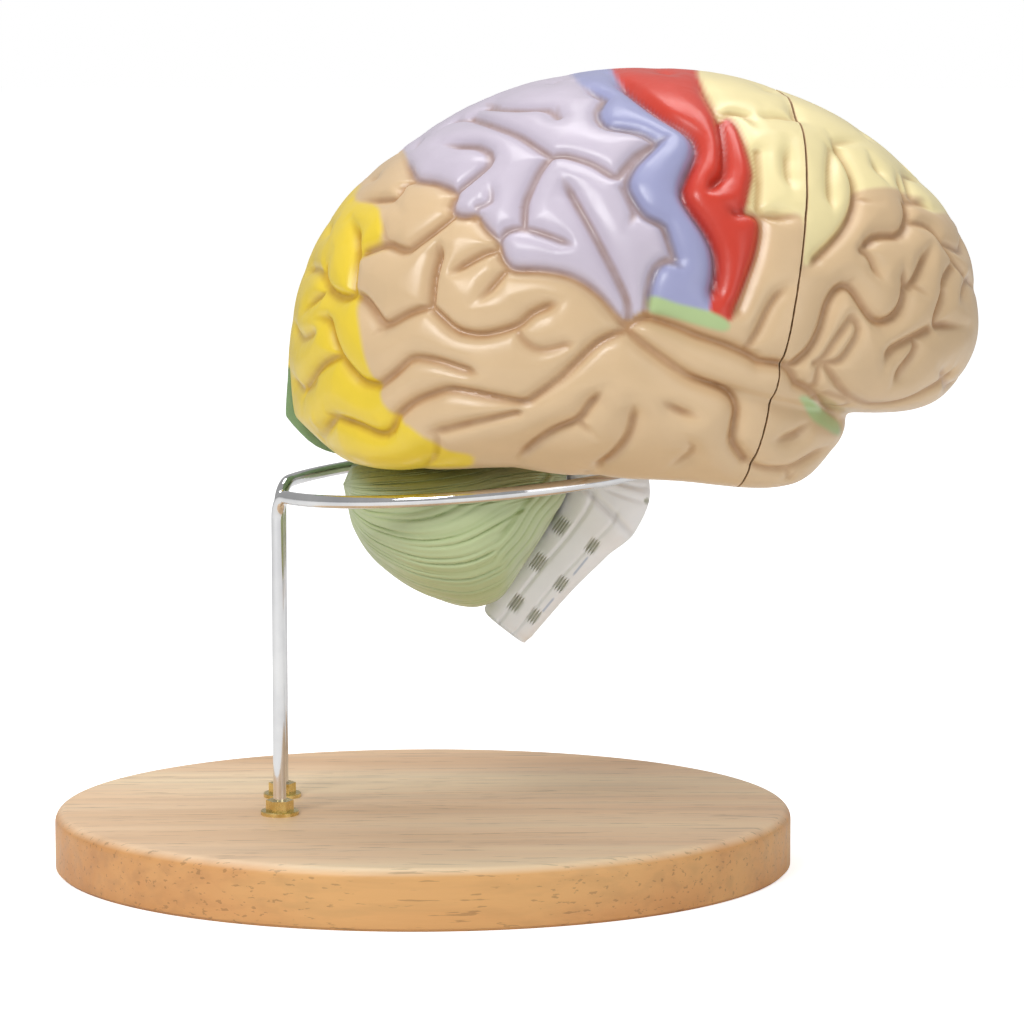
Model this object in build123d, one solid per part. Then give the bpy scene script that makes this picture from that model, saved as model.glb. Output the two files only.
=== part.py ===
from build123d import *
import os

import numpy as np
from scipy.interpolate import CubicSpline, PchipInterpolator
from scipy.spatial import ConvexHull, cKDTree

# Brain anatomy model on a wire stand. Millimetres, +X to the front of the brain, +Z up.
# The origin is the middle of the board's underside.

# Board
board_length = 185.0
board_width = 153.0
board_thickness = 15.0
board_edge_radius = 3.0
board_foot_edge = 0.8
counterbore_diameter = 11.0
counterbore_depth = 6.0

# Bent wire stand
rod_diameter = 3.2
rod_hole_clearance = 0.3
ring_length = 98.0
ring_width = 90.0
ring_middle_x = 12.0
ring_back_height = 80.0
ring_slope_deg = 4.6
ring_opening = 33.0
bend_radius = 6.0
rod_stub_below_nut = 0.8

# Nuts and washers on the two feet
washer_diameter = 9.5
washer_thickness = 1.0
washer_edge = 0.15
nut_across_flats = 6.0
nut_thickness = 2.6
nut_face_edge = 0.1
nut_cone_height = 4.55
thread_clearance = 0.05

# Brain
brain_length = 172.0
brain_height = 108.0
brain_width = 140.0
brain_middle_behind_ring_front = 9.5
ring_below_middle = 0.725
half_gap = 0.15
lobe_seam_gap = 0.5
left_back_overhang = 0.045

# Cut between each rear part and its frontal part
seam_ahead_of_middle = 0.302
seam_lean = 0.18
seam_sweep = 0.25

# Carving
facet_pitch = 7.0
fill_keep_share = 0.8
fill_slant_step_deg = 5.0
fill_slants_deg = (6, 88)
groove_pitch = 3.8
groove_bank = 2.3
bank_keep_share = 0.85
groove_keep_clear = 3.6
rim_pitch = 4.5
slot_half_width = 1.6
valley_half_width = 4.5
slot_share = 0.68
left_wander = 4.0
wander_wave_up = 37.0
wander_wave_along = 43.0
edge_groove_pitch_deg = 4.0
trail_pitch = 1.0
midline_clear = 2.0
hidden_turns_deg = (205, 330)
hidden_slant_deg = 62

# Pins and their twelve-sided sockets
pin_diameter = 4.0
pin_length = 20.0
small_pin_diameter = 3.0
small_pin_length = 14.0
pin_fit = 0.05
socket_sides = 12
socket_end_room = 0.8
# Pin places: shares of the half length, width and height about the brain's middle
midline_pins_at = [(-0.45, 0.50), (0.22, 0.36)]
frontal_pins_at = [(0.32, 0.40), (0.55, -0.22)]
# Shares of the ring's half length, and mm ahead of and below the brain's middle
cerebellum_pins_along = (-0.25, 0.10)
brainstem_pins_at = [(-5.5, 34.0), (-16.0, 63.0)]

# Brainstem seat under the hemispheres
seat_height_below_middle = 22.0
seat_half_width = 13.5
seat_front_from_middle = 6.5
seat_back_from_middle = -18.0
seat_clearance = 0.3

# Cerebellum
cerebellum_ring_play = 0.4
stem_clearance = 0.6
cerebellum_axis_below_ring_front = 6.44
cerebellum_pins_below_axis = 6.0
folia_count = 15
folia_depth = 0.9
folia_mean_radius = 25.0
cerebellum_columns = 15
cerebellum_width_power = 0.8
cerebellum_height_power = 0.9

# Brainstem
brainstem_corners = 13
brainstem_power = 0.6

# Outline of the hemisphere from the side: angle from straight ahead in degrees, reach in half sizes
side_outline = [
    (0, 1.005), (12, 1.005), (25, 1.005), (40, 1.01), (52, 1.035), (63, 1.055), (75, 1.075), (90, 1.07),
    (103, 1.05), (115, 1.02), (130, 0.97), (146, 0.95), (162, 0.945), (179, 0.965), (195, 1.02),
    (204, 1.07), (213, 1.14), (220, 1.18), (227, 1.11), (238, 0.96), (252, 0.90), (268, 0.89),
    (284, 0.94), (295, 1.04), (302, 1.08), (312, 1.0), (319, 0.91), (323, 0.84), (328, 0.92),
    (334, 1.0), (342, 1.02), (352, 1.015),
]
# How far the underside is hollowed towards the midline: angle in degrees, rise in half heights
underside_rise = [
    (0, 0), (208, 0), (228, 0.20), (245, 0.33), (270, 0.37), (300, 0.34), (318, 0.12), (326, 0), (360, 0),
]
# The widest point lies a little behind and below the middle, in half sizes
widest_back = 0.10
widest_down = 0.14
section_fullness = 2.3
front_taper = 0.16
hollow_start_deg = 44.0
lower_back_turn_deg = 216.0
lower_back_spread_deg = 13.0

# The reference view that the grooves are drawn in: its pixels, brain length and eye
drawn_brain_length = 688.0
drawn_middle = (628.7, 299.0)
eye_distance = 4200.0
eye_tilt_deg = 7.6
eye_turn_deg = -1.5

# Worked out from the sizes above
ring_slope = np.tan(np.radians(ring_slope_deg))
ring_middle_z = board_thickness + ring_back_height + ring_slope * ring_length / 2
ring_front_z = ring_middle_z + ring_slope * ring_length / 2
half_size = np.array([brain_length / 2, brain_width / 2, brain_height / 2])
brain_x = ring_middle_x + ring_length / 2 - brain_middle_behind_ring_front
brain_z = ring_front_z + ring_below_middle * half_size[2]
seam_x = seam_ahead_of_middle * half_size[0]
cerebellum_axis_z = ring_front_z - cerebellum_axis_below_ring_front

# Grooves of one hemisphere's outer side: route in drawn pixels, depth in mm
outer_grooves = [
    # Groove over the temple and its continuation under the frontal part
    ([(764, 364), (755, 358), (730, 347), (700, 337), (675, 327), (645, 319), (625, 329)], 3.4),
    ([(842, 424), (830, 405), (815, 392), (803, 386), (798, 376), (788, 367), (764, 364)], 3.0),
    # Upper groove of the temple and its long branch to the back
    ([(625, 329), (640, 343), (668, 364), (692, 379), (720, 389), (731, 395), (738, 404), (741, 415),
      (738, 432), (737, 448), (749, 466)], 3.0),
    ([(620, 333), (597, 344), (570, 369), (555, 383), (528, 402), (518, 406), (490, 401), (447, 393),
      (425, 398), (405, 407), (390, 420)], 2.8),
    # Groove between the red and the blue fold
    ([(611, 70), (630, 83), (660, 106), (690, 125), (699, 138), (698, 152), (689, 172), (685, 187),
      (689, 200), (709, 229), (719, 253), (719, 280), (711, 307)], 3.4),
    # Red fold and its front edge
    ([(697, 72), (705, 82), (717, 104), (722, 114)], 2.2),
    ([(724, 115), (728, 142), (728, 167), (722, 176), (706, 192)], 2.8),
    ([(731, 111), (740, 120), (750, 143), (757, 168), (755, 182), (749, 208), (738, 210)], 1.8),
    ([(749, 208), (760, 212), (766, 222), (762, 250), (752, 280), (740, 311), (729, 323)], 2.4),
    # Pale yellow folds behind the seam
    ([(722, 114), (728, 107), (748, 110), (755, 118), (759, 130)], 2.0),
    ([(764, 102), (768, 112), (773, 122)], 1.6),
    ([(768, 113), (780, 113), (792, 115)], 1.4),
    ([(761, 147), (763, 175), (762, 205), (766, 212), (778, 213), (803, 216)], 2.2),
    ([(791, 137), (791, 165), (795, 193)], 1.8),
    ([(787, 97), (795, 105), (799, 115)], 1.8),
    ([(796, 284), (787, 289), (773, 308), (762, 331), (750, 350)], 2.0),
    # Blue fold
    ([(577, 79), (590, 86), (603, 92), (598, 100), (595, 108), (599, 115), (606, 121), (636, 126),
      (652, 134), (656, 137)], 2.4),
    ([(656, 137), (670, 133), (678, 130)], 1.8),
    ([(656, 138), (640, 154), (633, 162), (626, 180), (634, 199), (646, 213), (663, 222), (668, 232),
      (676, 257)], 2.6),
    ([(622, 184), (631, 203), (634, 212), (630, 222), (627, 231)], 1.8),
    ([(646, 316), (647, 302), (651, 280), (656, 268), (663, 261), (671, 259), (688, 270)], 2.4),
    # Lilac folds
    ([(548, 151), (557, 150), (567, 151), (591, 159), (614, 172), (621, 167), (637, 149), (655, 138)], 2.4),
    ([(484, 102), (520, 104), (540, 103), (548, 105), (556, 112)], 2.2),
    ([(559, 92), (556, 112), (572, 110)], 1.4),
    ([(466, 112), (490, 120), (515, 130), (538, 145), (548, 151)], 2.6),
    ([(548, 151), (536, 167), (525, 190), (521, 203), (520, 226)], 2.4),
    ([(559, 172), (572, 196), (588, 224), (602, 250), (616, 277), (627, 303), (627, 327)], 2.8),
    ([(494, 240), (500, 231), (508, 227), (520, 226), (545, 233), (577, 246)], 2.2),
    ([(493, 243), (496, 255), (503, 265), (512, 269), (540, 270), (570, 277), (597, 295), (625, 328)], 2.8),
    ([(436, 142), (465, 141), (476, 143), (484, 148), (486, 154), (481, 163), (450, 189)], 2.4),
    ([(434, 131), (443, 123), (452, 117), (466, 114)], 1.6),
    ([(398, 150), (402, 163), (408, 176), (430, 180), (450, 190), (446, 200), (446, 210), (457, 214),
      (470, 214), (480, 226), (493, 238)], 2.4),
    ([(488, 176), (488, 188), (486, 200), (473, 205), (472, 212)], 1.6),
    # Tan folds between the lilac and the yellow
    ([(409, 177), (401, 180), (394, 187), (392, 195), (380, 197), (350, 199)], 2.2),
    ([(390, 197), (395, 205), (399, 213)], 1.4),
    ([(447, 213), (430, 227), (410, 242), (400, 249), (390, 247), (378, 243), (356, 251)], 2.8),
    ([(381, 212), (379, 226), (381, 240)], 1.2),
    ([(434, 236), (433, 250), (426, 277), (423, 307)], 3.2),
    ([(423, 307), (402, 314), (379, 326), (371, 318), (359, 302), (350, 296)], 2.6),
    ([(379, 326), (370, 333), (363, 343)], 1.4),
    ([(423, 307), (438, 321), (447, 329), (458, 334), (480, 336), (512, 327), (530, 313), (561, 301)], 2.8),
    ([(512, 327), (517, 337), (524, 345), (533, 350), (545, 351), (568, 345), (581, 340)], 1.8),
    ([(493, 249), (480, 252), (460, 263), (441, 276)], 2.6),
    ([(503, 268), (487, 287), (471, 304)], 2.2),
    ([(371, 389), (388, 376), (402, 363), (410, 360), (432, 363), (460, 372), (480, 375)], 2.4),
    ([(418, 433), (431, 435), (465, 427), (514, 416)], 2.2),
    # Yellow folds at the back
    ([(347, 217), (350, 240), (346, 285), (345, 296), (334, 298), (324, 293), (318, 284), (318, 268)], 2.6),
    ([(315, 295), (305, 303), (299, 313), (296, 318)], 2.0),
    ([(307, 320), (316, 318), (322, 323), (327, 342), (335, 361), (350, 380), (358, 386), (371, 388)], 2.6),
    ([(332, 358), (321, 363), (311, 371), (298, 391)], 2.4),
    ([(322, 408), (323, 418), (330, 421), (350, 428), (370, 437), (380, 438), (387, 432), (390, 421)], 2.4),
    ([(329, 421), (323, 428), (319, 437), (319, 447)], 2.2),
    ([(352, 468), (360, 458)], 1.2),
    ([(431, 435), (433, 449), (431, 459), (424, 467), (410, 471)], 1.6),
    # Folds of the temple
    ([(604, 389), (588, 408), (576, 423), (552, 433), (530, 447), (511, 465)], 2.4),
    ([(576, 423), (583, 430), (597, 441)], 1.8),
    ([(632, 401), (634, 412), (629, 437), (613, 458), (592, 472), (579, 476)], 2.2),
    ([(658, 400), (680, 414), (706, 421)], 2.0),
    ([(685, 437), (691, 446), (695, 452), (688, 460), (667, 473)], 1.6),
    ([(771, 444), (793, 441), (803, 436), (818, 420)], 2.0),
    ([(838, 446), (820, 457), (800, 469), (791, 473), (768, 473), (756, 469)], 1.8),
    ([(791, 473), (791, 483), (784, 498)], 1.6),
    # Folds of the frontal part
    ([(798, 367), (815, 352), (826, 332), (833, 308), (838, 297), (844, 289), (852, 285), (860, 290),
      (873, 310), (880, 319), (888, 323), (898, 320), (906, 312), (911, 300), (913, 285)], 2.6),
    ([(907, 262), (913, 285), (920, 283), (930, 262), (937, 241)], 2.2),
    ([(920, 284), (929, 292), (939, 299)], 1.6),
    ([(855, 283), (860, 275), (864, 267)], 1.4),
    ([(857, 250), (868, 248), (881, 236), (890, 234), (908, 233), (915, 216), (912, 203)], 2.4),
    ([(868, 249), (876, 255), (884, 275), (891, 283)], 2.0),
    ([(857, 318), (843, 338), (829, 359), (820, 365)], 1.8),
    ([(858, 318), (864, 326), (862, 338), (848, 359), (838, 365), (826, 366), (818, 398)], 1.8),
    ([(887, 369), (892, 358), (900, 350), (920, 339), (937, 330)], 2.2),
    ([(922, 341), (922, 351), (908, 370), (894, 389)], 2.0),
    ([(972, 327), (950, 326), (942, 323), (950, 295), (951, 281), (960, 266)], 2.2),
    ([(832, 368), (850, 394), (862, 402), (878, 407), (910, 403), (944, 386), (957, 375)], 2.0),
    ([(832, 395), (857, 404), (842, 409), (832, 407), (818, 400)], 1.6),
    ([(916, 221), (930, 223), (940, 230), (955, 252), (971, 275)], 1.8),
    ([(914, 200), (925, 201), (935, 207), (943, 215)], 1.8),
    ([(832, 131), (848, 153), (860, 178), (861, 202), (851, 226), (832, 248), (808, 269)], 2.4),
    ([(841, 140), (855, 139), (868, 140)], 1.6),
    ([(862, 195), (872, 199), (884, 200)], 1.6),
    ([(872, 152), (886, 174), (892, 183)], 1.8),
    ([(899, 164), (909, 190), (914, 201)], 2.0),
    ([(836, 146), (834, 175), (836, 214)], 1.8),
]

# Grooves over the midline edge and the underside: turn and slant in degrees, depth in mm
edge_grooves = [
    ([(33, 89), (37, 79), (33, 70)], 1.8),
    ([(18, 89), (15, 78), (19, 68)], 1.8),
    ([(3, 89), (7, 77), (2, 66)], 1.8),
    ([(50, 89), (48, 80)], 1.6),
    ([(67, 89), (69, 79)], 1.6),
    ([(86, 89), (84, 79)], 1.6),
    ([(101, 89), (103, 80)], 1.6),
    ([(115, 89), (113, 79)], 1.6),
    ([(129, 89), (131, 79)], 1.6),
    ([(143, 89), (141, 78)], 1.6),
    ([(157, 89), (160, 78)], 1.8),
    ([(171, 89), (169, 75), (173, 66)], 1.8),
    ([(185, 89), (188, 76), (184, 64)], 1.8),
    ([(199, 88), (201, 74), (197, 62)], 1.8),
    ([(342, 88), (338, 76), (345, 60)], 1.8),
    ([(228, 82), (245, 78), (262, 75), (280, 75), (296, 78)], 2.2),
    ([(232, 66), (250, 62), (268, 60), (286, 61), (300, 64)], 2.2),
]


def smooth_step(t):
    t = np.clip(t, 0.0, 1.0)
    return t * t * (3 - 2 * t)


def outline_reach(extra_back):
    """Side outline as a closed smooth curve; extra_back lengthens the lower back of the lobe."""
    angles = np.radians([a for a, _ in side_outline] + [360])
    reach = np.array([r for _, r in side_outline] + [side_outline[0][1]])
    lower_back = np.exp(-((np.degrees(angles) - lower_back_turn_deg) / lower_back_spread_deg) ** 2)
    return CubicSpline(angles, reach + extra_back * lower_back, bc_type="periodic")


def skin(reach, turn, slant):
    """Smooth hemisphere surface: turn goes round the side view, slant from the side to the midline."""
    share = np.sin(slant) ** (2 / section_fullness)
    depth = np.cos(slant).clip(0) ** (2 / section_fullness)
    knots, values = zip(*underside_rise)
    rise = np.interp(np.degrees(turn) % 360, knots, values)
    hollow_start = np.radians(hollow_start_deg)
    hollow = smooth_step((slant - hollow_start) / (np.pi / 2 - hollow_start))
    r = reach(turn % (2 * np.pi)) * share - rise * hollow
    ahead = -widest_back * (1 - share) + r * np.cos(turn)
    above = -widest_down * (1 - share) + r * np.sin(turn)
    across = depth * (1 - front_taper * np.clip(ahead, 0, 1) ** 1.5)
    return np.stack([ahead, -across, above], -1)


def drawn(points):
    """Pixels of the reference view for points in half sizes about the brain's middle."""
    scale = drawn_brain_length / 2
    body = points * scale * half_size / half_size[0]
    turn, tilt = np.radians(eye_turn_deg), np.radians(eye_tilt_deg)
    right = np.array([np.cos(turn), np.sin(turn), 0])
    ahead = np.array([-np.sin(turn) * np.cos(tilt), np.cos(turn) * np.cos(tilt), -np.sin(tilt)])
    up = np.cross(right, ahead)
    nearness = eye_distance / (eye_distance + body @ ahead)
    across, above = nearness * (body @ right), nearness * (body @ up)
    return np.stack([drawn_middle[0] + across, drawn_middle[1] - above], -1)


def wandered(route, wander):
    """Shifts a drawn route by a slow wave, so that the two halves aren't mirror copies."""
    x, y = route.T
    return route + wander * np.stack([np.sin(y / wander_wave_up + 1), np.sin(x / wander_wave_along)], -1)


def seen_from_side(reach):
    """Places all over the part of the skin that the reference view shows, in half sizes."""
    turns, slants = np.meshgrid(np.arange(0, 360, 1.0), np.arange(1, 90.1, 1.0))
    first, last = hidden_turns_deg
    seen = (turns < first) | (turns > last) | (slants < hidden_slant_deg)
    turns, slants = np.radians(turns[seen]), np.radians(slants[seen])
    return skin(reach, turns, slants)


class Carving:
    """Grooves laid on one smooth hemisphere, and the depth they give at any place on it."""

    def __init__(self, reach, wander):
        self.rows = []
        self.row_depths = []
        places = seen_from_side(reach)
        finder = cKDTree(drawn(places))
        pitch_in_view = groove_pitch * drawn_brain_length / brain_length
        for route, depth in outer_grooves:
            route = spaced(wandered(np.array(route, float), wander), pitch_in_view)
            self.lay(places[finder.query(route)[1]] * half_size, depth)
        for route, depth in edge_grooves:
            turns, slants = np.radians(spaced(np.array(route, float), edge_groove_pitch_deg)).T
            self.lay(skin(reach, turns, slants) * half_size, depth)
        trails = [spaced(row, trail_pitch) for row in self.rows]
        self.trail = cKDTree(np.vstack(trails))
        self.depths = np.repeat(self.row_depths, [len(trail) for trail in trails])

    def lay(self, row, depth):
        self.rows.append(row)
        self.row_depths.append(depth)

    def depth(self, points):
        """A narrow slot in a soft valley."""
        gap, nearest = self.trail.query(points)
        slot = np.exp(-((gap / slot_half_width) ** 2))
        valley = np.exp(-((gap / valley_half_width) ** 2))
        return self.depths[nearest] * (slot_share * slot + (1 - slot_share) * valley)


def spaced(route, pitch):
    """Points at an even pitch along a route."""
    steps = np.linalg.norm(np.diff(route, axis=0), axis=1)
    along = np.concatenate([[0], np.cumsum(steps)])
    count = max(2, int(round(along[-1] / pitch)) + 1)
    return np.stack([np.interp(np.linspace(0, along[-1], count), along, c) for c in route.T], -1)


def thinned(points, keep_clear):
    """Drops each point that lies too close to one kept before it."""
    near = cKDTree(points).query_ball_point(points, keep_clear)
    kept = np.ones(len(points), bool)
    for k, others in enumerate(near):
        if kept[k]:
            kept[[j for j in others if j > k]] = False
    return points[kept]


def bank_points(row, bank):
    """The two banks of a groove: points beside its middle line, square to it along the skin."""
    along = np.gradient(row, axis=0)
    out = row / np.linalg.norm(row, axis=1, keepdims=True)
    side = np.cross(along, out)
    side /= np.linalg.norm(side, axis=1, keepdims=True) + 1e-9
    return np.vstack([row + bank * side, row - bank * side])


def rim_points(reach):
    """Points round the midline edge of the hemisphere at an even pitch."""
    turns = np.radians(np.linspace(0, 360, 721))
    edge = skin(reach, turns, np.full_like(turns, np.pi / 2)) * half_size
    edge[:, 1] = 0
    return spaced(edge, rim_pitch)[:-1]


def fill_points(reach):
    """An even scatter over the skin for the backs of the folds."""
    rows = []
    slants = np.radians(np.arange(*fill_slants_deg, fill_slant_step_deg))
    for k, slant in enumerate(slants):
        turns = np.radians(np.linspace(0, 360, 361))
        loop = skin(reach, turns, np.full_like(turns, slant)) * half_size
        rows.append(spaced(loop, facet_pitch)[k % 2:-1])
    return thinned(np.vstack(rows), facet_pitch * fill_keep_share)


def facet_face(corners):
    return Face(Wire.make_polygon([Vector(*c) for c in corners], close=True))


def outward(corners, inside):
    a, b, c = corners
    return [a, b, c] if np.dot(np.cross(b - a, c - a), a - inside) > 0 else [a, c, b]


def surface_points(reach, carving):
    """Points of the folded skin: the midline edge, the grooves, their banks and the backs of the folds."""
    rim = rim_points(reach)
    rows = np.vstack(carving.rows)
    middle_line = thinned(rows[rows[:, 1] < -midline_clear], groove_bank)
    banks = np.vstack([bank_points(row, groove_bank) for row in carving.rows])
    bank_line = thinned(banks[banks[:, 1] < -midline_clear], groove_bank)
    near = cKDTree(np.vstack([middle_line, rim])).query(bank_line)[0]
    bank_line = bank_line[near > groove_bank * bank_keep_share]
    fill = fill_points(reach)
    taken = cKDTree(np.vstack([middle_line, bank_line, rim]))
    fill = fill[taken.query(fill)[0] > groove_keep_clear]
    return rim, np.vstack([middle_line, bank_line, fill])


def hemisphere(extra_back, wander):
    """One half of the cerebrum, on the side of -Y, with its folds carved and a flat midline face."""
    reach = outline_reach(extra_back)
    carving = Carving(reach, wander)
    rim, rest = surface_points(reach, carving)
    base = np.vstack([rim, rest])
    length = np.linalg.norm(base, axis=1, keepdims=True)
    facing = base / length
    carved = facing * (length - carving.depth(base)[:, None])
    carved[: len(rim), 1] = 0
    faces = []
    for triangle in ConvexHull(facing).simplices:
        if all(k < len(rim) for k in triangle):
            continue
        faces.append(facet_face(outward(carved[triangle], np.array([0, -1.0, 0]))))
    faces.append(facet_face(carved[: len(rim)]))
    solid = Solid(Shell(faces))
    return solid.moved(Location((brain_x, -half_gap, brain_z)))


def seam_plane(shift):
    """The oblique cut behind the frontal part of the -Y half."""
    facing = (1.0, seam_sweep, -seam_lean)
    return Plane(origin=(brain_x + seam_x + shift, 0, brain_z), z_dir=facing)


def socket(place, direction, diameter, depth):
    """A twelve-sided hole whose flats grip a round pin."""
    radius = (diameter / 2 + pin_fit) / np.cos(np.pi / socket_sides)
    section = Plane(origin=place, z_dir=direction) * RegularPolygon(radius, socket_sides)
    return extrude(section, depth, both=True)


def pin(place, direction, diameter, length):
    flat = Plane(origin=place, z_dir=direction)
    return extrude(flat * Circle(diameter / 2), length / 2, both=True)


def cross_pins(places, diameter, length):
    """Pins square to the midline, half of each in either side."""
    return [pin((x, 0, z), (0, 1, 0), diameter, length) for x, z in places]


def midline_pin_places():
    return [(brain_x + ahead * half_size[0], brain_z + above * half_size[2])
            for ahead, above in midline_pins_at]


def front_pin_places(side):
    """Middles of the two pins across the frontal seam; side is -1 on the right and 1 on the left."""
    places = []
    for across, above in frontal_pins_at:
        y, z = across * half_size[1], above * half_size[2]
        x = seam_x + seam_lean * z + seam_sweep * y
        places.append((brain_x + x, side * y, brain_z + z))
    return places


def brainstem_seat():
    """The recess under the hemispheres that the top of the brainstem stands in."""
    length = seat_front_from_middle - seat_back_from_middle
    ceiling = brain_z - seat_height_below_middle
    return Pos(brain_x + seat_back_from_middle + length / 2, 0, ceiling - brain_height / 4) * Box(
        length, 2 * seat_half_width, brain_height / 2)


def cerebrum_half(side):
    """Rear and frontal part of one half; side is -1 on the right and 1 on the left."""
    if side > 0:
        half = hemisphere(left_back_overhang, left_wander)
    else:
        half = hemisphere(0.0, 0.0)
    rear = half.split(seam_plane(-lobe_seam_gap / 2), keep=Keep.BOTTOM)
    front = half.split(seam_plane(lobe_seam_gap / 2), keep=Keep.TOP)
    rear -= brainstem_seat()
    for x, z in midline_pin_places():
        rear -= socket((x, 0, z), (0, 1, 0), pin_diameter, pin_length / 2 + socket_end_room)
    for x, y, z in front_pin_places(-1):
        hole = socket((x, y, z), (1, 0, 0), pin_diameter, pin_length / 2 + socket_end_room)
        rear -= hole
        front -= hole
    if side > 0:
        rear, front = mirror(rear, about=Plane.XZ), mirror(front, about=Plane.XZ)
    return rear, front


def half_shell(rows, back, front):
    """A closed half body from open rows that run from the lower to the upper edge of its flat midline
    face. back and front are the points that close it, or None where the end row is a flat face."""
    faces = []
    inside = np.mean([row.mean(axis=0) for row in rows], axis=0)
    for this, after in zip(rows, rows[1:]):
        for k in range(len(this) - 1):
            for corners in ((this[k], after[k], after[k + 1]), (this[k], after[k + 1], this[k + 1])):
                faces.append(facet_face(outward(corners, inside)))
    for row, tip in ((rows[0], back), (rows[-1], front)):
        if tip is None:
            faces.append(facet_face(row))
            continue
        for k in range(len(row) - 1):
            faces.append(facet_face(outward((row[k], row[k + 1], tip), inside)))
    loop = [row[0] for row in rows] + ([front] if front is not None else [])
    loop += [row[-1] for row in reversed(rows)] + ([back] if back is not None else [])
    faces.append(facet_face(loop))
    return Solid(Shell(faces))


# Cerebellum sections from back to front: place along and width in the ring's half sizes,
# top above the axis in the brain's half height, bottom below the axis in mm
cerebellum_sections = [
    (-0.65, 0.00, 0.000, 0.0),
    (-0.60, 0.36, 0.083, 10.5),
    (-0.42, 0.72, 0.122, 21.5),
    (-0.20, 0.94, 0.148, 27.5),
    (0.00, 1.00, 0.165, 30.0),
    (0.12, 0.97, 0.186, 28.5),
    (0.28, 0.84, 0.190, 18.0),
    (0.43, 0.58, 0.165, 6.0),
    (0.53, 0.00, 0.037, -2.0),
]


def cerebellum_half(side):
    """One half of the cerebellum: folds that run from end to end, fanning out over the side."""
    along, width, top, bottom = (np.array(c, float) for c in zip(*cerebellum_sections))
    top = top * half_size[2]
    half_width = ring_width / 2 - rod_diameter / 2 - cerebellum_ring_play
    curves = [PchipInterpolator(along, c) for c in (width, top, bottom)]
    swing = (1 - np.cos(np.linspace(0, np.pi, cerebellum_columns + 2))) / 2
    stops = along[0] + (along[-1] - along[0]) * swing
    steps = 2 * folia_count
    slants = np.linspace(-np.pi / 2, np.pi / 2, steps + 1)
    rows = []
    for stop in stops[1:-1]:
        wide, high, low = (curve(stop) for curve in curves)
        row = []
        for k, slant in enumerate(slants):
            fade = min(1.0, 3 * wide) * (0 if k in (0, steps) else 1)
            trim = 1 - (folia_depth * fade / folia_mean_radius if k % 2 else 0)
            y = half_width * wide * max(np.cos(slant), 0) ** cerebellum_width_power
            reach = high if slant > 0 else low
            z = reach * np.sign(slant) * abs(np.sin(slant)) ** cerebellum_height_power
            x = ring_middle_x + stop * ring_length / 2
            row.append((x, -y * trim - half_gap, cerebellum_axis_z + z * trim))
        rows.append(np.array(row))
    ends = []
    for stop in (stops[0], stops[-1]):
        z = cerebellum_axis_z + (curves[1](stop) - curves[2](stop)) / 2
        ends.append(np.array((ring_middle_x + stop * ring_length / 2, -half_gap, z)))
    half = half_shell(rows, ends[0], ends[1]) - brainstem_trough()
    for x, z in cerebellum_pin_places():
        half -= socket((x, 0, z), (0, 1, 0), small_pin_diameter, small_pin_length / 2 + socket_end_room)
    return mirror(half, about=Plane.XZ) if side > 0 else half


def cerebellum_pin_places():
    z = cerebellum_axis_z - cerebellum_pins_below_axis
    return [(ring_middle_x + along * ring_length / 2, z) for along in cerebellum_pins_along]


# Brainstem sections from its flat top down, in mm: ahead of the brain's middle, below the flat top,
# lean in degrees, depth from front to back, half width
brainstem_sections = [
    (-6.0, 0.0, 0, 20.0, 12.5),
    (-6.0, 7.7, 4, 19.0, 12.0),
    (-5.5, 15.7, 12, 20.0, 13.0),
    (-5.0, 21.7, 24, 22.0, 14.5),
    (-7.0, 28.7, 36, 21.0, 14.0),
    (-12.0, 35.7, 41, 17.0, 11.0),
    (-20.5, 45.7, 41, 15.0, 9.5),
    (-31.0, 59.0, 38, 13.5, 9.0),
]


def brainstem_section(ahead, below, lean, depth, half_width):
    """One row round the stem, from the back of its midline face to the front."""
    top = brain_z - seat_height_below_middle - seat_clearance
    row = []
    for slant in np.linspace(-np.pi / 2, np.pi / 2, brainstem_corners):
        out = half_width * max(np.cos(slant), 0) ** brainstem_power
        fore = depth / 2 * np.sign(slant) * abs(np.sin(slant)) ** brainstem_power
        x = brain_x + ahead + fore * np.cos(np.radians(lean))
        z = top - below - fore * np.sin(np.radians(lean))
        row.append((x, -out - half_gap, z))
    return np.array(row)


def brainstem_trough():
    """The trough in the front of the cerebellum that the brainstem lies in, with room all round."""
    rows = [brainstem_section(*section) for section in brainstem_sections]
    back = [(row[0][0] - stem_clearance, row[0][2]) for row in rows]
    lowest, front = back[-1][1] - brain_height / 4, brain_x + brain_length / 4
    outline = back + [(back[-1][0], lowest), (front, lowest), (front, back[0][1])]
    widest = max(section[-1] for section in brainstem_sections) + stem_clearance
    side_view = make_face(Polyline(*[(x, 0, z) for x, z in outline], close=True))
    return extrude(side_view, widest, dir=(0, 1, 0), both=True)


def brainstem_half(side):
    """One half of the brainstem, flat on top and cut square across at its lower end."""
    rows = [brainstem_section(*section) for section in brainstem_sections]
    half = half_shell(rows, None, None)
    for x, z in brainstem_pin_places():
        half -= socket((x, 0, z), (0, 1, 0), small_pin_diameter, small_pin_length / 2 + socket_end_room)
    return mirror(half, about=Plane.XZ) if side > 0 else half


def brainstem_pin_places():
    return [(brain_x + ahead, brain_z - below) for ahead, below in brainstem_pins_at]


def ring_start():
    """Where the wire leaves the ring for its right-hand bend, and its direction there away from the leg."""
    half_length, half_width = ring_length / 2, ring_width / 2
    y = ring_opening / 2
    angle = np.pi + np.arcsin(y / half_width)
    x = half_length * np.cos(angle)
    place = np.array([ring_middle_x + x, half_width * np.sin(angle), ring_middle_z + ring_slope * x])
    heading = np.array([-half_length * np.sin(angle), half_width * np.cos(angle), 0])
    heading[2] = ring_slope * heading[0]
    return place, heading / np.linalg.norm(heading)


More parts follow.
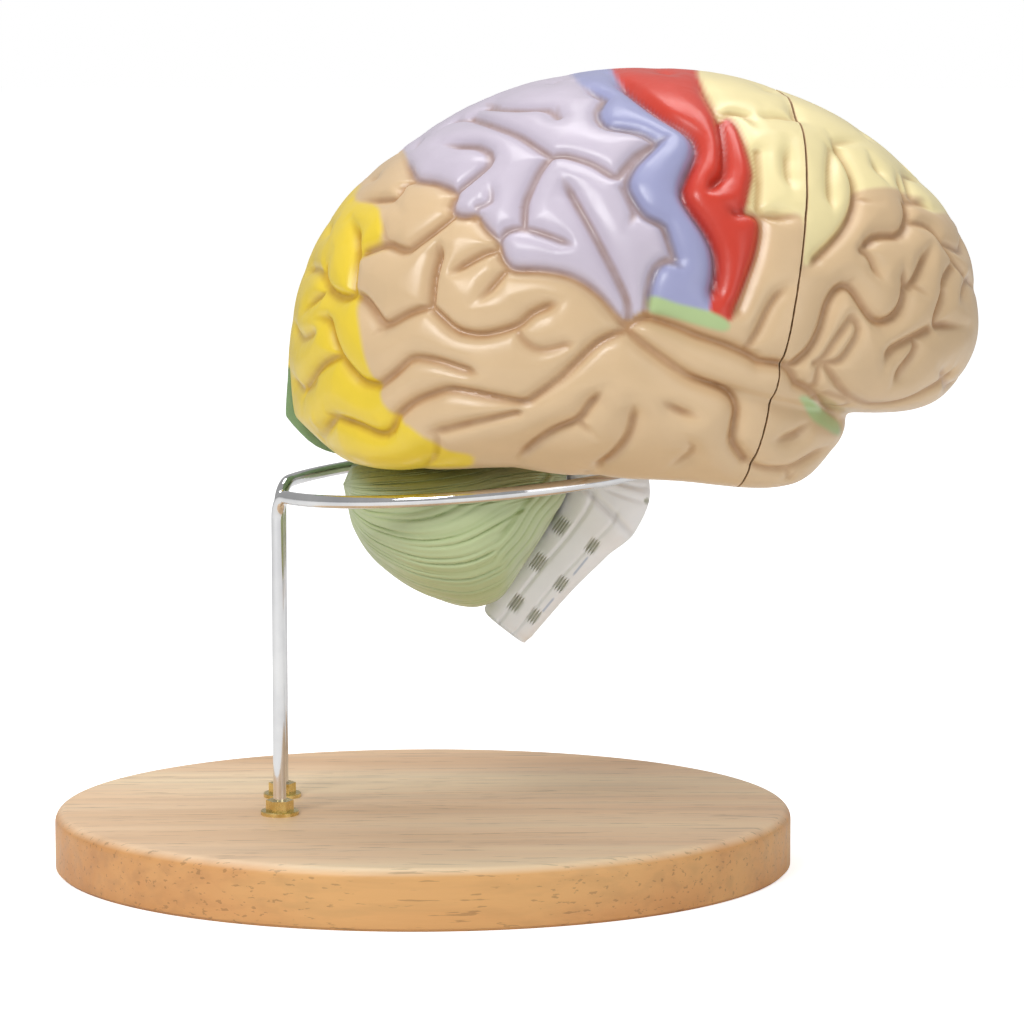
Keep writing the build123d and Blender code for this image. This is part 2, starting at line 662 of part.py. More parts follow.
def leg_corner():
    """The corner that the bend rounds off, above the right leg."""
    place, heading = ring_start()
    turn = np.arccos(heading[2])
    back_off = bend_radius * np.tan(turn / 2)
    return place - back_off * heading, back_off


def leg_foot_z():
    return counterbore_depth - washer_thickness - nut_thickness - rod_stub_below_nut


def ring_rod():
    """One wire: up a leg, round the bend, round the sloping ring and down the other leg."""
    place, heading = ring_start()
    corner, back_off = leg_corner()
    foot = Vector(corner[0], corner[1], leg_foot_z())
    knee = Vector(corner[0], corner[1], corner[2] - back_off)
    start = Vector(*place)
    middle = (ring_middle_x, 0, ring_middle_z)
    tilted = Plane(origin=middle, x_dir=(1, 0, ring_slope), z_dir=(-ring_slope, 0, 1))
    long_radius = ring_length / 2 * np.sqrt(1 + ring_slope**2)
    open_half = np.degrees(np.arcsin(ring_opening / ring_width))
    loop = tilted * EllipticalCenterArc((0, 0), long_radius, ring_width / 2, start_angle=180 + open_half,
                                        arc_size=360 - 2 * open_half)
    bend = TangentArc(knee, start, tangent=(0, 0, 1))
    right = [Line(foot, knee).edge(), bend.edge()]
    left = [mirror(piece, about=Plane.XZ).edge() for piece in right]
    path = Wire(right + [loop.edge()] + left)
    section = Plane(origin=foot, z_dir=(0, 0, 1)) * Circle(rod_diameter / 2)
    return sweep(section, path=path)


def foot_places():
    corner, _ = leg_corner()
    return [(corner[0], corner[1]), (corner[0], -corner[1])]


def board():
    oval = extrude(Ellipse(board_length / 2, board_width / 2), board_thickness)
    oval = fillet(oval.edges().group_by(Axis.Z)[-1], board_edge_radius)
    oval = chamfer(oval.edges().group_by(Axis.Z)[0], board_foot_edge)
    hole_radius = rod_diameter / 2 + rod_hole_clearance
    for x, y in foot_places():
        oval -= Pos(x, y, board_thickness / 2) * Cylinder(hole_radius, 2 * board_thickness)
        oval -= Pos(x, y, 0) * Cylinder(counterbore_diameter / 2, 2 * counterbore_depth)
    return oval


def washer():
    disc = Cylinder(washer_diameter / 2, washer_thickness, align=(Align.CENTER, Align.CENTER, Align.MIN))
    disc = chamfer(disc.edges().group_by(Axis.Z)[-1], washer_edge)
    return disc - Cylinder(rod_diameter / 2 + thread_clearance, 4 * washer_thickness)


def nut():
    """A hexagon nut with its upper corners turned off."""
    corner_radius = nut_across_flats / 2 / np.cos(np.pi / 6)
    hexagon = extrude(RegularPolygon(corner_radius, 6), nut_thickness)
    crown = Cone(corner_radius + nut_thickness, nut_across_flats / 2 - nut_face_edge, nut_cone_height,
                 align=(Align.CENTER, Align.CENTER, Align.MIN))
    return (hexagon & crown) - Cylinder(rod_diameter / 2 + thread_clearance, 4 * nut_thickness)


def at_both_feet(piece, z, upside_down=False):
    if upside_down:
        piece = Rot(180, 0, 0) * piece
    return [Pos(x, y, z) * piece for x, y in foot_places()]


def write(name, *pieces):
    shape = pieces[0] if len(pieces) == 1 else Compound(children=list(pieces))
    export_step(shape, f"parts/{name}.step")


def main():
    os.makedirs("parts", exist_ok=True)
    write("base_board", board())
    write("ring_rod", ring_rod())
    write("upper_washers", *at_both_feet(washer(), board_thickness))
    write("upper_nuts", *at_both_feet(nut(), board_thickness + washer_thickness))
    write("lower_washers", *at_both_feet(washer(), counterbore_depth, upside_down=True))
    write("lower_nuts", *at_both_feet(nut(), counterbore_depth - washer_thickness, upside_down=True))
    for side, name in ((-1, "right"), (1, "left")):
        rear, front = cerebrum_half(side)
        write(f"{name}_rear_hemisphere", rear)
        write(f"{name}_frontal_part", front)
        write(f"{name}_cerebellum", cerebellum_half(side))
        write(f"{name}_brainstem", brainstem_half(side))
        write(f"{name}_frontal_pins",
              *[pin(place, (1, 0, 0), pin_diameter, pin_length) for place in front_pin_places(side)])
    write("midline_pins", *cross_pins(midline_pin_places(), pin_diameter, pin_length))
    write("cerebellum_pins", *cross_pins(cerebellum_pin_places(), small_pin_diameter, small_pin_length))
    write("brainstem_pins", *cross_pins(brainstem_pin_places(), small_pin_diameter, small_pin_length))


main()
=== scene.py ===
import bpy
import math
import numpy as np
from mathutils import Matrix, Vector


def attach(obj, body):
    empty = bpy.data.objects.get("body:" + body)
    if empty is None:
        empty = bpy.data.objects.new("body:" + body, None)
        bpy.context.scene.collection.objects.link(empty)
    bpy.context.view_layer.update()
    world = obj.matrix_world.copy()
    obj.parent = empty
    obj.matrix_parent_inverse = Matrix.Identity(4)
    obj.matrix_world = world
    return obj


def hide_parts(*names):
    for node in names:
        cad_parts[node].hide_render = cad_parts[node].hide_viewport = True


# Painted brain model on a wire stand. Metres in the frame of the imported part: +X front, +Z up.

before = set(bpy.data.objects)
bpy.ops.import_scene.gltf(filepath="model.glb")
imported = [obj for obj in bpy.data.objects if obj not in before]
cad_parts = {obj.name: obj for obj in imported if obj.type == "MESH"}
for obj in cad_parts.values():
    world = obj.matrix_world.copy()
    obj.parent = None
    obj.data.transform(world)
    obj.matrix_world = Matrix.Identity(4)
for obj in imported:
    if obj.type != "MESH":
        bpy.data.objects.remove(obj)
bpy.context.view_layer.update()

MM = 0.001

SIDE_NAMES = {-1: "right", 1: "left"}

# Brain, as in the part, but for the seam, whose plane is fitted to the photo
BRAIN_MIDDLE = np.array([51.5, 0.0, 142.035]) * MM
HALF_SIZE = np.array([86.0, 70.0, 54.0]) * MM
HALF_GAP = 0.15 * MM
SKIN_BELOW = 0.15 * MM
SEAM_AHEAD = 24.2 * MM
SEAM_GAP = 0.5 * MM
SEAM_FACE_ROOM = 0.11 * MM
SEAM_LEAN = 0.221
SEAM_SWEEP = 0.173
LEFT_OVERHANG = 0.045
OVERHANG_TURN = 216
OVERHANG_SPREAD = 13
LEFT_WANDER = 4.0
WANDER_WAVES = (37, 43)
RIM_SLANT = math.radians(120)
BALL_CELLS = 144

# Side outline of the cerebrum: degrees from straight ahead, reach in half sizes
SIDE_OUTLINE = [
    (0, 1.005), (12, 1.005), (25, 1.005), (40, 1.01), (52, 1.035), (63, 1.055), (75, 1.075), (90, 1.07),
    (103, 1.05), (115, 1.02), (130, 0.97), (146, 0.95), (162, 0.945), (179, 0.965), (195, 1.02),
    (204, 1.07), (213, 1.14), (220, 1.18), (227, 1.11), (238, 0.96), (252, 0.90), (268, 0.89),
    (284, 0.94), (295, 1.04), (302, 1.08), (312, 1.0), (319, 0.91), (323, 0.84), (328, 0.92),
    (334, 1.0), (342, 1.02), (352, 1.015),
]
UNDERSIDE_RISE = [
    (0, 0), (208, 0), (228, 0.20), (245, 0.33), (270, 0.37), (300, 0.34), (318, 0.12), (326, 0), (360, 0),
]
WIDEST_BACK = 0.10
WIDEST_DOWN = 0.14
FULLNESS = 2.3
FRONT_TAPER = 0.16
HOLLOW_START = math.radians(44)

# Pins and their sockets: places ahead of, beside and above the brain's middle
SOCKET_RADIUS = 2.1 * MM
SMALL_SOCKET_RADIUS = 1.6 * MM
PIN_SOCKET_DEPTH = 10.8 * MM
SMALL_SOCKET_DEPTH = 7.8 * MM
MIDLINE_PINS = [(-38.7, 27.0), (18.92, 19.44)]
FRONTAL_PINS = [(35.46, 22.4, 21.6), (33.46, 38.5, -11.88)]
CEREBELLUM_PINS = [(-51.75, -51.59), (-34.6, -51.59)]
BRAINSTEM_PINS = [(-5.5, -34.0), (-16.0, -63.0)]

# Seat of the brainstem under the cerebrum, about the brain's middle
SEAT_BACK = -18.0
SEAT_FRONT = 6.5
SEAT_HALF_WIDTH = 13.5
SEAT_CEILING = -22.0

# Cerebellum: places along and widths in the ring's half sizes, top in half brain heights, bottom in mm
RING_MIDDLE_X = 12.0
RING_HALF_LENGTH = 49.0
CEREBELLUM_AXIS = 96.44
CEREBELLUM_HALF_WIDTH = 42.85
CEREBELLUM_SECTIONS = [
    (-0.65, 0.00, 0.000, 0.0), (-0.60, 0.36, 0.083, 10.5), (-0.42, 0.72, 0.122, 21.5),
    (-0.20, 0.94, 0.148, 27.5), (0.00, 1.00, 0.165, 30.0), (0.12, 0.97, 0.186, 28.5),
    (0.28, 0.84, 0.190, 18.0), (0.43, 0.58, 0.165, 6.0), (0.53, 0.00, 0.037, -2.0),
]

# Brainstem: ahead of the middle, below the flat top, lean in degrees, depth, half width
STEM_TOP = 119.735
STEM_CLEARANCE = 0.6
STEM_SECTIONS = [
    (-6.0, 0.0, 0, 20.0, 12.5), (-6.0, 7.7, 4, 19.0, 12.0), (-5.5, 15.7, 12, 20.0, 13.0),
    (-5.0, 21.7, 24, 22.0, 14.5), (-7.0, 28.7, 36, 21.0, 14.0), (-12.0, 35.7, 41, 17.0, 11.0),
    (-20.5, 45.7, 41, 15.0, 9.5), (-31.0, 59.0, 38, 13.5, 9.0),
]

# The view that the grooves and colour fields are drawn in: pixels, and the eye that sees them
DRAWN_HALF_LENGTH = 344.0
DRAWN_MIDDLE = (628.7, 299.0)
PICTURE_MIDDLE = 512.0
EYE_DISTANCE = 4200.0
EYE_TARGET = np.array([22.3, 0.0, 89.25]) * MM
EYE_TILT = math.radians(7.6)
EYE_TURN = math.radians(-1.5)
# Turns and slant in degrees round the underside, which that view doesn't see
HIDDEN_TURNS = (205, 330)
HIDDEN_SLANT = 62
PIXELS_PER_METRE = DRAWN_HALF_LENGTH / HALF_SIZE[0]

# Grooves of the outer side: route in drawn pixels, depth in mm
GROOVES = [
    # Groove over the temple and its continuation under the frontal part
    ([(764, 364), (755, 358), (730, 347), (700, 337), (675, 327), (645, 319), (625, 329)], 3.4),
    ([(842, 424), (830, 405), (815, 392), (803, 386), (798, 376), (788, 367), (764, 364)], 3.0),
    # Upper groove of the temple and its long branch to the back
    ([(625, 329), (640, 343), (668, 364), (692, 379), (720, 389), (731, 395), (738, 404), (741, 415),
      (738, 432), (737, 448), (749, 466)], 3.0),
    ([(620, 333), (597, 344), (570, 369), (555, 383), (528, 402), (518, 406), (490, 401), (447, 393),
      (425, 398), (405, 407), (390, 420)], 2.8),
    # Groove between the red and the blue fold
    ([(611, 70), (630, 83), (660, 106), (690, 125), (699, 138), (698, 152), (689, 172), (685, 187),
      (689, 200), (709, 229), (719, 253), (719, 280), (711, 307)], 3.4),
    # Red fold and its front edge
    ([(697, 72), (705, 82), (717, 104), (722, 114)], 2.2),
    ([(724, 115), (728, 142), (728, 167), (722, 176), (706, 192)], 2.8),
    ([(731, 111), (740, 120), (750, 143), (757, 168), (755, 182), (749, 208), (738, 210)], 1.8),
    ([(749, 208), (760, 212), (766, 222), (762, 250), (752, 280), (740, 311), (729, 323)], 2.4),
    # Pale yellow folds behind the seam
    ([(722, 114), (728, 107), (748, 110), (755, 118), (759, 130)], 2.0),
    ([(764, 102), (768, 112), (773, 122)], 1.6),
    ([(768, 113), (780, 113), (792, 115)], 1.4),
    ([(761, 147), (763, 175), (762, 205), (766, 212), (778, 213), (803, 216)], 2.2),
    ([(791, 137), (791, 165), (795, 193)], 1.8),
    ([(787, 97), (795, 105), (799, 115)], 1.8),
    ([(796, 284), (787, 289), (773, 308), (762, 331), (750, 350)], 2.0),
    # Blue fold
    ([(577, 79), (590, 86), (603, 92), (598, 100), (595, 108), (599, 115), (606, 121), (636, 126),
      (652, 134), (656, 137)], 2.4),
    ([(656, 137), (670, 133), (678, 130)], 1.8),
    ([(656, 138), (640, 154), (633, 162), (626, 180), (634, 199), (646, 213), (663, 222), (668, 232),
      (676, 257)], 2.6),
    ([(622, 184), (631, 203), (634, 212), (630, 222), (627, 231)], 1.8),
    ([(646, 316), (647, 302), (651, 280), (656, 268), (663, 261), (671, 259), (688, 270)], 2.4),
    # Lilac folds
    ([(548, 151), (557, 150), (567, 151), (591, 159), (614, 172), (621, 167), (637, 149), (655, 138)], 2.4),
    ([(484, 102), (520, 104), (540, 103), (548, 105), (556, 112)], 2.2),
    ([(559, 92), (556, 112), (572, 110)], 1.4),
    ([(466, 112), (490, 120), (515, 130), (538, 145), (548, 151)], 2.6),
    ([(548, 151), (536, 167), (525, 190), (521, 203), (520, 226)], 2.4),
    ([(559, 172), (572, 196), (588, 224), (602, 250), (616, 277), (627, 303), (627, 327)], 2.8),
    ([(494, 240), (500, 231), (508, 227), (520, 226), (545, 233), (577, 246)], 2.2),
    ([(493, 243), (496, 255), (503, 265), (512, 269), (540, 270), (570, 277), (597, 295), (625, 328)], 2.8),
    ([(436, 142), (465, 141), (476, 143), (484, 148), (486, 154), (481, 163), (450, 189)], 2.4),
    ([(434, 131), (443, 123), (452, 117), (466, 114)], 1.6),
    ([(398, 150), (402, 163), (408, 176), (430, 180), (450, 190), (446, 200), (446, 210), (457, 214),
      (470, 214), (480, 226), (493, 238)], 2.4),
    ([(488, 176), (488, 188), (486, 200), (473, 205), (472, 212)], 1.6),
    # Tan folds between the lilac and the yellow
    ([(409, 177), (401, 180), (394, 187), (392, 195), (380, 197), (350, 199)], 2.2),
    ([(390, 197), (395, 205), (399, 213)], 1.4),
    ([(447, 213), (430, 227), (410, 242), (400, 249), (390, 247), (378, 243), (356, 251)], 2.8),
    ([(381, 212), (379, 226), (381, 240)], 1.2),
    ([(434, 236), (433, 250), (426, 277), (423, 307)], 3.2),
    ([(423, 307), (402, 314), (379, 326), (371, 318), (359, 302), (350, 296)], 2.6),
    ([(379, 326), (370, 333), (363, 343)], 1.4),
    ([(423, 307), (438, 321), (447, 329), (458, 334), (480, 336), (512, 327), (530, 313), (561, 301)], 2.8),
    ([(512, 327), (517, 337), (524, 345), (533, 350), (545, 351), (568, 345), (581, 340)], 1.8),
    ([(493, 249), (480, 252), (460, 263), (441, 276)], 2.6),
    ([(503, 268), (487, 287), (471, 304)], 2.2),
    ([(371, 389), (388, 376), (402, 363), (410, 360), (432, 363), (460, 372), (480, 375)], 2.4),
    ([(418, 433), (431, 435), (465, 427), (514, 416)], 2.2),
    # Yellow folds at the back
    ([(347, 217), (350, 240), (346, 285), (345, 296), (334, 298), (324, 293), (318, 284), (318, 268)], 2.6),
    ([(315, 295), (305, 303), (299, 313), (296, 318)], 2.0),
    ([(307, 320), (316, 318), (322, 323), (327, 342), (335, 361), (350, 380), (358, 386), (371, 388)], 2.6),
    ([(332, 358), (321, 363), (311, 371), (298, 391)], 2.4),
    ([(322, 408), (323, 418), (330, 421), (350, 428), (370, 437), (380, 438), (387, 432), (390, 421)], 2.4),
    ([(329, 421), (323, 428), (319, 437), (319, 447)], 2.2),
    ([(352, 468), (360, 458)], 1.2),
    ([(431, 435), (433, 449), (431, 459), (424, 467), (410, 471)], 1.6),
    # Folds of the temple
    ([(604, 389), (588, 408), (576, 423), (552, 433), (530, 447), (511, 465)], 2.4),
    ([(576, 423), (583, 430), (597, 441)], 1.8),
    ([(632, 401), (634, 412), (629, 437), (613, 458), (592, 472), (579, 476)], 2.2),
    ([(658, 400), (680, 414), (706, 421)], 2.0),
    ([(685, 437), (691, 446), (695, 452), (688, 460), (667, 473)], 1.6),
    ([(771, 444), (793, 441), (803, 436), (818, 420)], 2.0),
    ([(838, 446), (820, 457), (800, 469), (791, 473), (768, 473), (756, 469)], 1.8),
    ([(791, 473), (791, 483), (784, 498)], 1.6),
    # Folds of the frontal part
    ([(798, 367), (815, 352), (826, 332), (833, 308), (838, 297), (844, 289), (852, 285), (860, 290),
      (873, 310), (880, 319), (888, 323), (898, 320), (906, 312), (911, 300), (913, 285)], 2.6),
    ([(907, 262), (913, 285), (920, 283), (930, 262), (937, 241)], 2.2),
    ([(920, 284), (929, 292), (939, 299)], 1.6),
    ([(855, 283), (860, 275), (864, 267)], 1.4),
    ([(857, 250), (868, 248), (881, 236), (890, 234), (908, 233), (915, 216), (912, 203)], 2.4),
    ([(868, 249), (876, 255), (884, 275), (891, 283)], 2.0),
    ([(857, 318), (843, 338), (829, 359), (820, 365)], 1.8),
    ([(858, 318), (864, 326), (862, 338), (848, 359), (838, 365), (826, 366), (818, 398)], 1.8),
    ([(887, 369), (892, 358), (900, 350), (920, 339), (937, 330)], 2.2),
    ([(922, 341), (922, 351), (908, 370), (894, 389)], 2.0),
    ([(972, 327), (950, 326), (942, 323), (950, 295), (951, 281), (960, 266)], 2.2),
    ([(832, 368), (850, 394), (862, 402), (878, 407), (910, 403), (944, 386), (957, 375)], 2.0),
    ([(832, 395), (857, 404), (842, 409), (832, 407), (818, 400)], 1.6),
    ([(916, 221), (930, 223), (940, 230), (955, 252), (971, 275)], 1.8),
    ([(914, 200), (925, 201), (935, 207), (943, 215)], 1.8),
    ([(832, 131), (848, 153), (860, 178), (861, 202), (851, 226), (832, 248), (808, 269)], 2.4),
    ([(841, 140), (855, 139), (868, 140)], 1.6),
    ([(862, 195), (872, 199), (884, 200)], 1.6),
    ([(872, 152), (886, 174), (892, 183)], 1.8),
    ([(899, 164), (909, 190), (914, 201)], 2.0),
    ([(836, 146), (834, 175), (836, 214)], 1.8),
]

# Grooves over the midline edge and the underside: turn and slant in degrees, depth in mm
EDGE_GROOVES = [
    ([(33, 89), (37, 79), (33, 70)], 1.8),
    ([(18, 89), (15, 78), (19, 68)], 1.8),
    ([(3, 89), (7, 77), (2, 66)], 1.8),
    ([(50, 89), (48, 80)], 1.6),
    ([(67, 89), (69, 79)], 1.6),
    ([(86, 89), (84, 79)], 1.6),
    ([(101, 89), (103, 80)], 1.6),
    ([(115, 89), (113, 79)], 1.6),
    ([(129, 89), (131, 79)], 1.6),
    ([(143, 89), (141, 78)], 1.6),
    ([(157, 89), (160, 78)], 1.8),
    ([(171, 89), (169, 75), (173, 66)], 1.8),
    ([(185, 89), (188, 76), (184, 64)], 1.8),
    ([(199, 88), (201, 74), (197, 62)], 1.8),
    ([(342, 88), (338, 76), (345, 60)], 1.8),
    ([(228, 82), (245, 78), (262, 75), (280, 75), (296, 78)], 2.2),
    ([(232, 66), (250, 62), (268, 60), (286, 61), (300, 64)], 2.2),
]

# Grooves of the midline faces: route in drawn pixels, depth in mm
MIDLINE_GROOVES = [
    # Groove along the girdle fold and its branch up to the edge
    ([(752, 372), (790, 352), (818, 318), (822, 270), (796, 220), (745, 186), (680, 170), (610, 164),
      (545, 166), (505, 160), (478, 130), (468, 108)], 2.6),
    # Outer and inner edge of the white arch
    ([(742, 352), (770, 352), (792, 322), (786, 272), (748, 234), (690, 212), (620, 205), (540, 212),
      (478, 238), (450, 280), (452, 316), (474, 330)], 2.0),
    ([(742, 352), (758, 340), (766, 312), (758, 284), (730, 256), (685, 238), (620, 231), (550, 238),
      (500, 260), (478, 290), (474, 330)], 1.8),
    # Between the wall folds and the wedge at the back
    ([(425, 150), (438, 200), (444, 250), (430, 300), (416, 336)], 2.6),
    ([(300, 372), (335, 352), (380, 356), (416, 336), (446, 346), (470, 362)], 2.6),
    ([(560, 108), (566, 132), (556, 160)], 1.8),
    ([(640, 92), (650, 120), (642, 146)], 1.8),
    ([(735, 96), (742, 130), (766, 158)], 1.8),
    ([(836, 140), (830, 175), (850, 210)], 1.8),
    ([(900, 190), (880, 222), (858, 236), (862, 270)], 1.8),
    ([(955, 262), (915, 272), (880, 300), (862, 330)], 1.8),
    ([(962, 330), (920, 338), (880, 352), (830, 372)], 1.8),
    ([(330, 260), (360, 270), (392, 262), (412, 236)], 1.8),
    ([(318, 420), (360, 408), (410, 400), (452, 388)], 1.8),
    # Round the thalamus and along the edge of the vault under the arch
    ([(540, 300), (560, 278), (610, 268), (658, 280), (680, 304), (662, 332), (610, 346), (560, 334),
      (540, 300)], 1.6),
    ([(690, 356), (712, 330), (724, 300), (712, 276), (672, 256)], 1.2),
]

# Paint, as display red, green and blue
TAN = (0.86, 0.74, 0.58)
PALE_YELLOW = (0.96, 0.90, 0.68)
YELLOW = (0.93, 0.81, 0.22)
RED = (0.82, 0.24, 0.17)
BLUE = (0.63, 0.64, 0.79)
LILAC = (0.80, 0.76, 0.82)
STRIPE_GREEN = (0.70, 0.79, 0.56)
LEAF_GREEN = (0.73, 0.78, 0.59)
BACK_GREEN = (0.50, 0.62, 0.44)
OFF_WHITE = (0.97, 0.97, 0.97)
ROSE = (0.86, 0.62, 0.52)
DUSKY_BLUE = (0.66, 0.70, 0.76)
ROOT_GREY = (0.64, 0.64, 0.56)
LINE_BLUE = (0.76, 0.79, 0.85)

# Colour fields of the right half in drawn pixels, painted one over the other
FIELDS = [
    (LILAC, [(401, 149), (402, 163), (408, 176), (430, 180), (450, 190), (446, 200), (446, 210), (457, 214),
             (471, 212), (480, 226), (493, 240), (497, 256), (503, 265), (512, 269), (540, 270), (570, 277),
             (597, 295), (620, 318), (630, 320), (647, 310), (700, 300), (700, 100), (620, 20), (360, 20),
             (380, 120)]),
    (YELLOW, [(346, 180), (352, 199), (365, 201), (377, 210), (378, 228), (372, 241), (356, 251), (350, 275),
              (350, 296), (357, 330), (366, 370), (372, 388), (382, 408), (390, 420), (410, 430), (426, 443),
              (440, 451), (468, 455), (473, 460), (468, 467), (430, 470), (400, 474), (370, 478), (340, 490),
              (300, 540), (200, 520), (200, 230)]),
    (BLUE, [(566, 60), (577, 79), (590, 86), (603, 92), (598, 100), (595, 108), (599, 115), (606, 121),
            (636, 126), (652, 134), (656, 137), (640, 154), (633, 162), (626, 180), (634, 199), (646, 213),
            (663, 222), (668, 232), (676, 257), (668, 262), (656, 268), (651, 280), (647, 300), (660, 302),
            (712, 310), (740, 200), (700, 100), (640, 40), (580, 20)]),
    (PALE_YELLOW, [(697, 72), (690, 20), (960, 20), (990, 190), (940, 212), (925, 197), (905, 188),
                   (875, 187), (861, 190), (858, 205), (852, 222), (843, 236), (832, 247), (822, 256),
                   (805, 263), (804, 216), (778, 213), (762, 210), (740, 200), (720, 150)]),
    (RED, [(611, 66), (630, 83), (660, 106), (690, 125), (699, 138), (698, 152), (689, 172), (685, 187),
           (689, 200), (709, 229), (719, 253), (719, 280), (711, 310), (722, 321), (731, 322), (740, 308),
           (752, 280), (762, 250), (765, 226), (761, 213), (750, 208), (755, 182), (757, 168), (750, 143),
           (740, 120), (731, 111), (722, 114), (717, 104), (705, 82), (697, 68), (690, 30), (600, 30)]),
    (STRIPE_GREEN, [(652, 296), (680, 304), (712, 312), (730, 322), (727, 332), (700, 326), (672, 318),
                    (650, 312)]),
    (STRIPE_GREEN, [(803, 400), (816, 401), (830, 414), (842, 425), (840, 436), (828, 430), (814, 420)]),
]
# Fields that differ on the left half, and those of the midline faces
LEFT_FIELDS = [
    (BACK_GREEN, [(200, 372), (300, 366), (350, 378), (376, 392), (392, 420), (440, 452), (474, 460),
                  (400, 478), (340, 540), (200, 540)]),
]
MIDLINE_FIELDS = [
    (DUSKY_BLUE, [(742, 352), (770, 352), (792, 322), (786, 272), (748, 234), (690, 212), (620, 205),
                  (540, 212), (478, 238), (450, 280), (452, 316), (474, 330), (520, 352), (560, 380),
                  (640, 384), (700, 372)]),
    (OFF_WHITE, [(742, 352), (770, 352), (792, 322), (786, 272), (748, 234), (690, 212), (620, 205),
                 (540, 212), (478, 238), (450, 280), (452, 316), (474, 330), (478, 290), (500, 260),
                 (550, 238), (620, 231), (685, 238), (730, 256), (758, 284), (766, 312), (758, 340)]),
    (ROSE, [(540, 300), (560, 278), (610, 268), (658, 280), (680, 304), (662, 332), (610, 346), (560, 334)]),
]

# Carving: half widths of a groove's slot and of the rounding of the folds beside it in mm, share of the
# depth in the slot, and how far in mm a groove reaches
SLOT_HALF_WIDTH = 1.3
VALLEY_HALF_WIDTH = 3.6
VALLEY_SOFTNESS = 0.8
SLOT_SHARE = 0.38
DEEPENED = 1.55
GROOVE_REACH = 14
# Ends of grooves: how close in mm one is to another groove when they join, and else over how many runs
# it fades and to which share. Depth in mm from which the painted shade in a groove is full
JOINED = 3.0
END_RUNS = 3.0
END_SHARE = 0.25
FULL_SHADE_DEPTH = 2.4
# Share of the midline face beside its rim that stays flat
MIDLINE_EDGE = 0.06
ROUTE_PITCH = 7.0
EDGE_ROUTE_PITCH = 2.0

# Leaves of the cerebellum: grooves from its upper to its lower edge, depth in mm, and how many leaves
# they rise by toward the front, with the shares of the length where that starts and that it takes
LEAF_GROOVES = 46
LEAF_DEPTH = 0.65
LEAF_RISE = 7
RISE_START = 0.12
RISE_SPAN = 0.62
# Half widths of the grooves between leaves and between bundles of six, in shares of their pitch
LEAF_SLOT = 0.17
BUNDLE = 6
BUNDLE_SLOT = 0.05
# The small lobule behind the stem in drawn pixels: width, length, pitch of its leaves, its crease
STEM_BACK_EDGE = ((575.0, 488.0), (487.0, 610.0))
LOBULE_WIDTH = 30
LOBULE_LENGTH = 118
LOBULE_PITCH = 7.5
CREASE_PLACE = 31
CREASE_LENGTH = 100
CREASE_HALF_WIDTH = 3.0
# Corners round and along the balls that make the cerebellum and the stem, and how square they are
CEREBELLUM_RINGS = (400, 130)
CEREBELLUM_ROUNDING = (0.8, 0.9)
STEM_RINGS = (260, 200)
STEM_ROUNDING = 0.6
# Trough for the stem: how far below its foot and ahead it is cut, in mm
TROUGH_BELOW = 27
TROUGH_FRONT = 75.0

# Half of the way round a half body that is its outer side; the rest is the flat midline face
HALF_ROUND = math.radians(130)
# Share of the rings, at each end of the stem, that make its flat end
CAP_SHARE = 0.08

# Grey root patches on the stem in drawn pixels: centre, half length and half width
ROOT_PATCHES = [
    ((561, 526), 9, 8), ((538, 562), 9, 8), ((516, 603), 9, 7.5),
    ((592, 546), 8, 7), ((561, 584), 8, 7), ((534, 616), 8, 6.5),
]
# Rootlets across a patch, in turns of their comb per pixel, and the way down along the stem
ROOTLETS = 2.2
STEM_DOWN = np.array([-0.585, 0.811])
STEM_TIP = np.array([647.0, 501.0])
TIP_RADIUS = 4.0
# Long ridges of the stem: place from -1 at the back to 1 in front, width, height in mm
STEM_RIDGES = [(-0.38, 0.07, 0.5), (0.30, 0.06, 0.4)]
STEM_LINES = [((587, 558), (574, 574)), ((553, 599), (543, 611))]

WOOD_DARK = (0.86, 0.71, 0.56)
WOOD_MIDDLE = (0.92, 0.79, 0.65)
WOOD_PALE = (0.95, 0.85, 0.71)
# Tint that darkens the board's rim as painted shade
WOOD_RIM_SHADE = (0.93, 0.80, 0.62)

# Camera and light
CAMERA_DISTANCE = 1.05
CAMERA_FOCAL = 147.7
LIT_PLACE = Vector((0.03, 0.0, 0.12))
AIR_LIGHT = 0.40
FLOOR_LIFT = 0.66
BOARD_TOP = 15.0 * MM


def smooth_step(t):
    t = np.clip(t, 0.0, 1.0)
    return t * t * (3 - 2 * t)


def display(red, green, blue):
    """Linear colour for the shader from the colour as it is seen on a display."""
    return [c / 12.92 if c < 0.04045 else ((c + 0.055) / 1.055) ** 2.4 for c in (red, green, blue)]


# Shape of the cerebrum


class SideReach:
    """The side outline as a closed smooth curve through its points."""

    def __init__(self, extra_back):
        self.turn = np.radians([a for a, _ in SIDE_OUTLINE] + [360])
        lower_back = np.exp(-((np.degrees(self.turn) - OVERHANG_TURN) / OVERHANG_SPREAD) ** 2)
        reach = np.array([r for _, r in SIDE_OUTLINE] + [SIDE_OUTLINE[0][1]])
        self.reach = reach + extra_back * lower_back
        step = np.diff(self.turn)
        rise = np.diff(self.reach) / step
        count = len(step)
        rows, right = np.zeros((count, count)), np.zeros(count)
        for k in range(count):
            before = (k - 1) % count
            rows[k, before] += step[before]
            rows[k, k] += 2 * (step[before] + step[k])
            rows[k, (k + 1) % count] += step[k]
            right[k] = 6 * (rise[k] - rise[before])
        bend = np.linalg.solve(rows, right)
        self.bend = np.append(bend, bend[0])

    def __call__(self, turn):
        turn = turn % (2 * np.pi)
        k = np.clip(np.searchsorted(self.turn, turn, side="right") - 1, 0, len(self.turn) - 2)
        step = self.turn[k + 1] - self.turn[k]
        after = (turn - self.turn[k]) / step
        before = 1 - after
        bow = (before**3 - before) * self.bend[k] + (after**3 - after) * self.bend[k + 1]
        return before * self.reach[k] + after * self.reach[k + 1] + bow * step**2 / 6


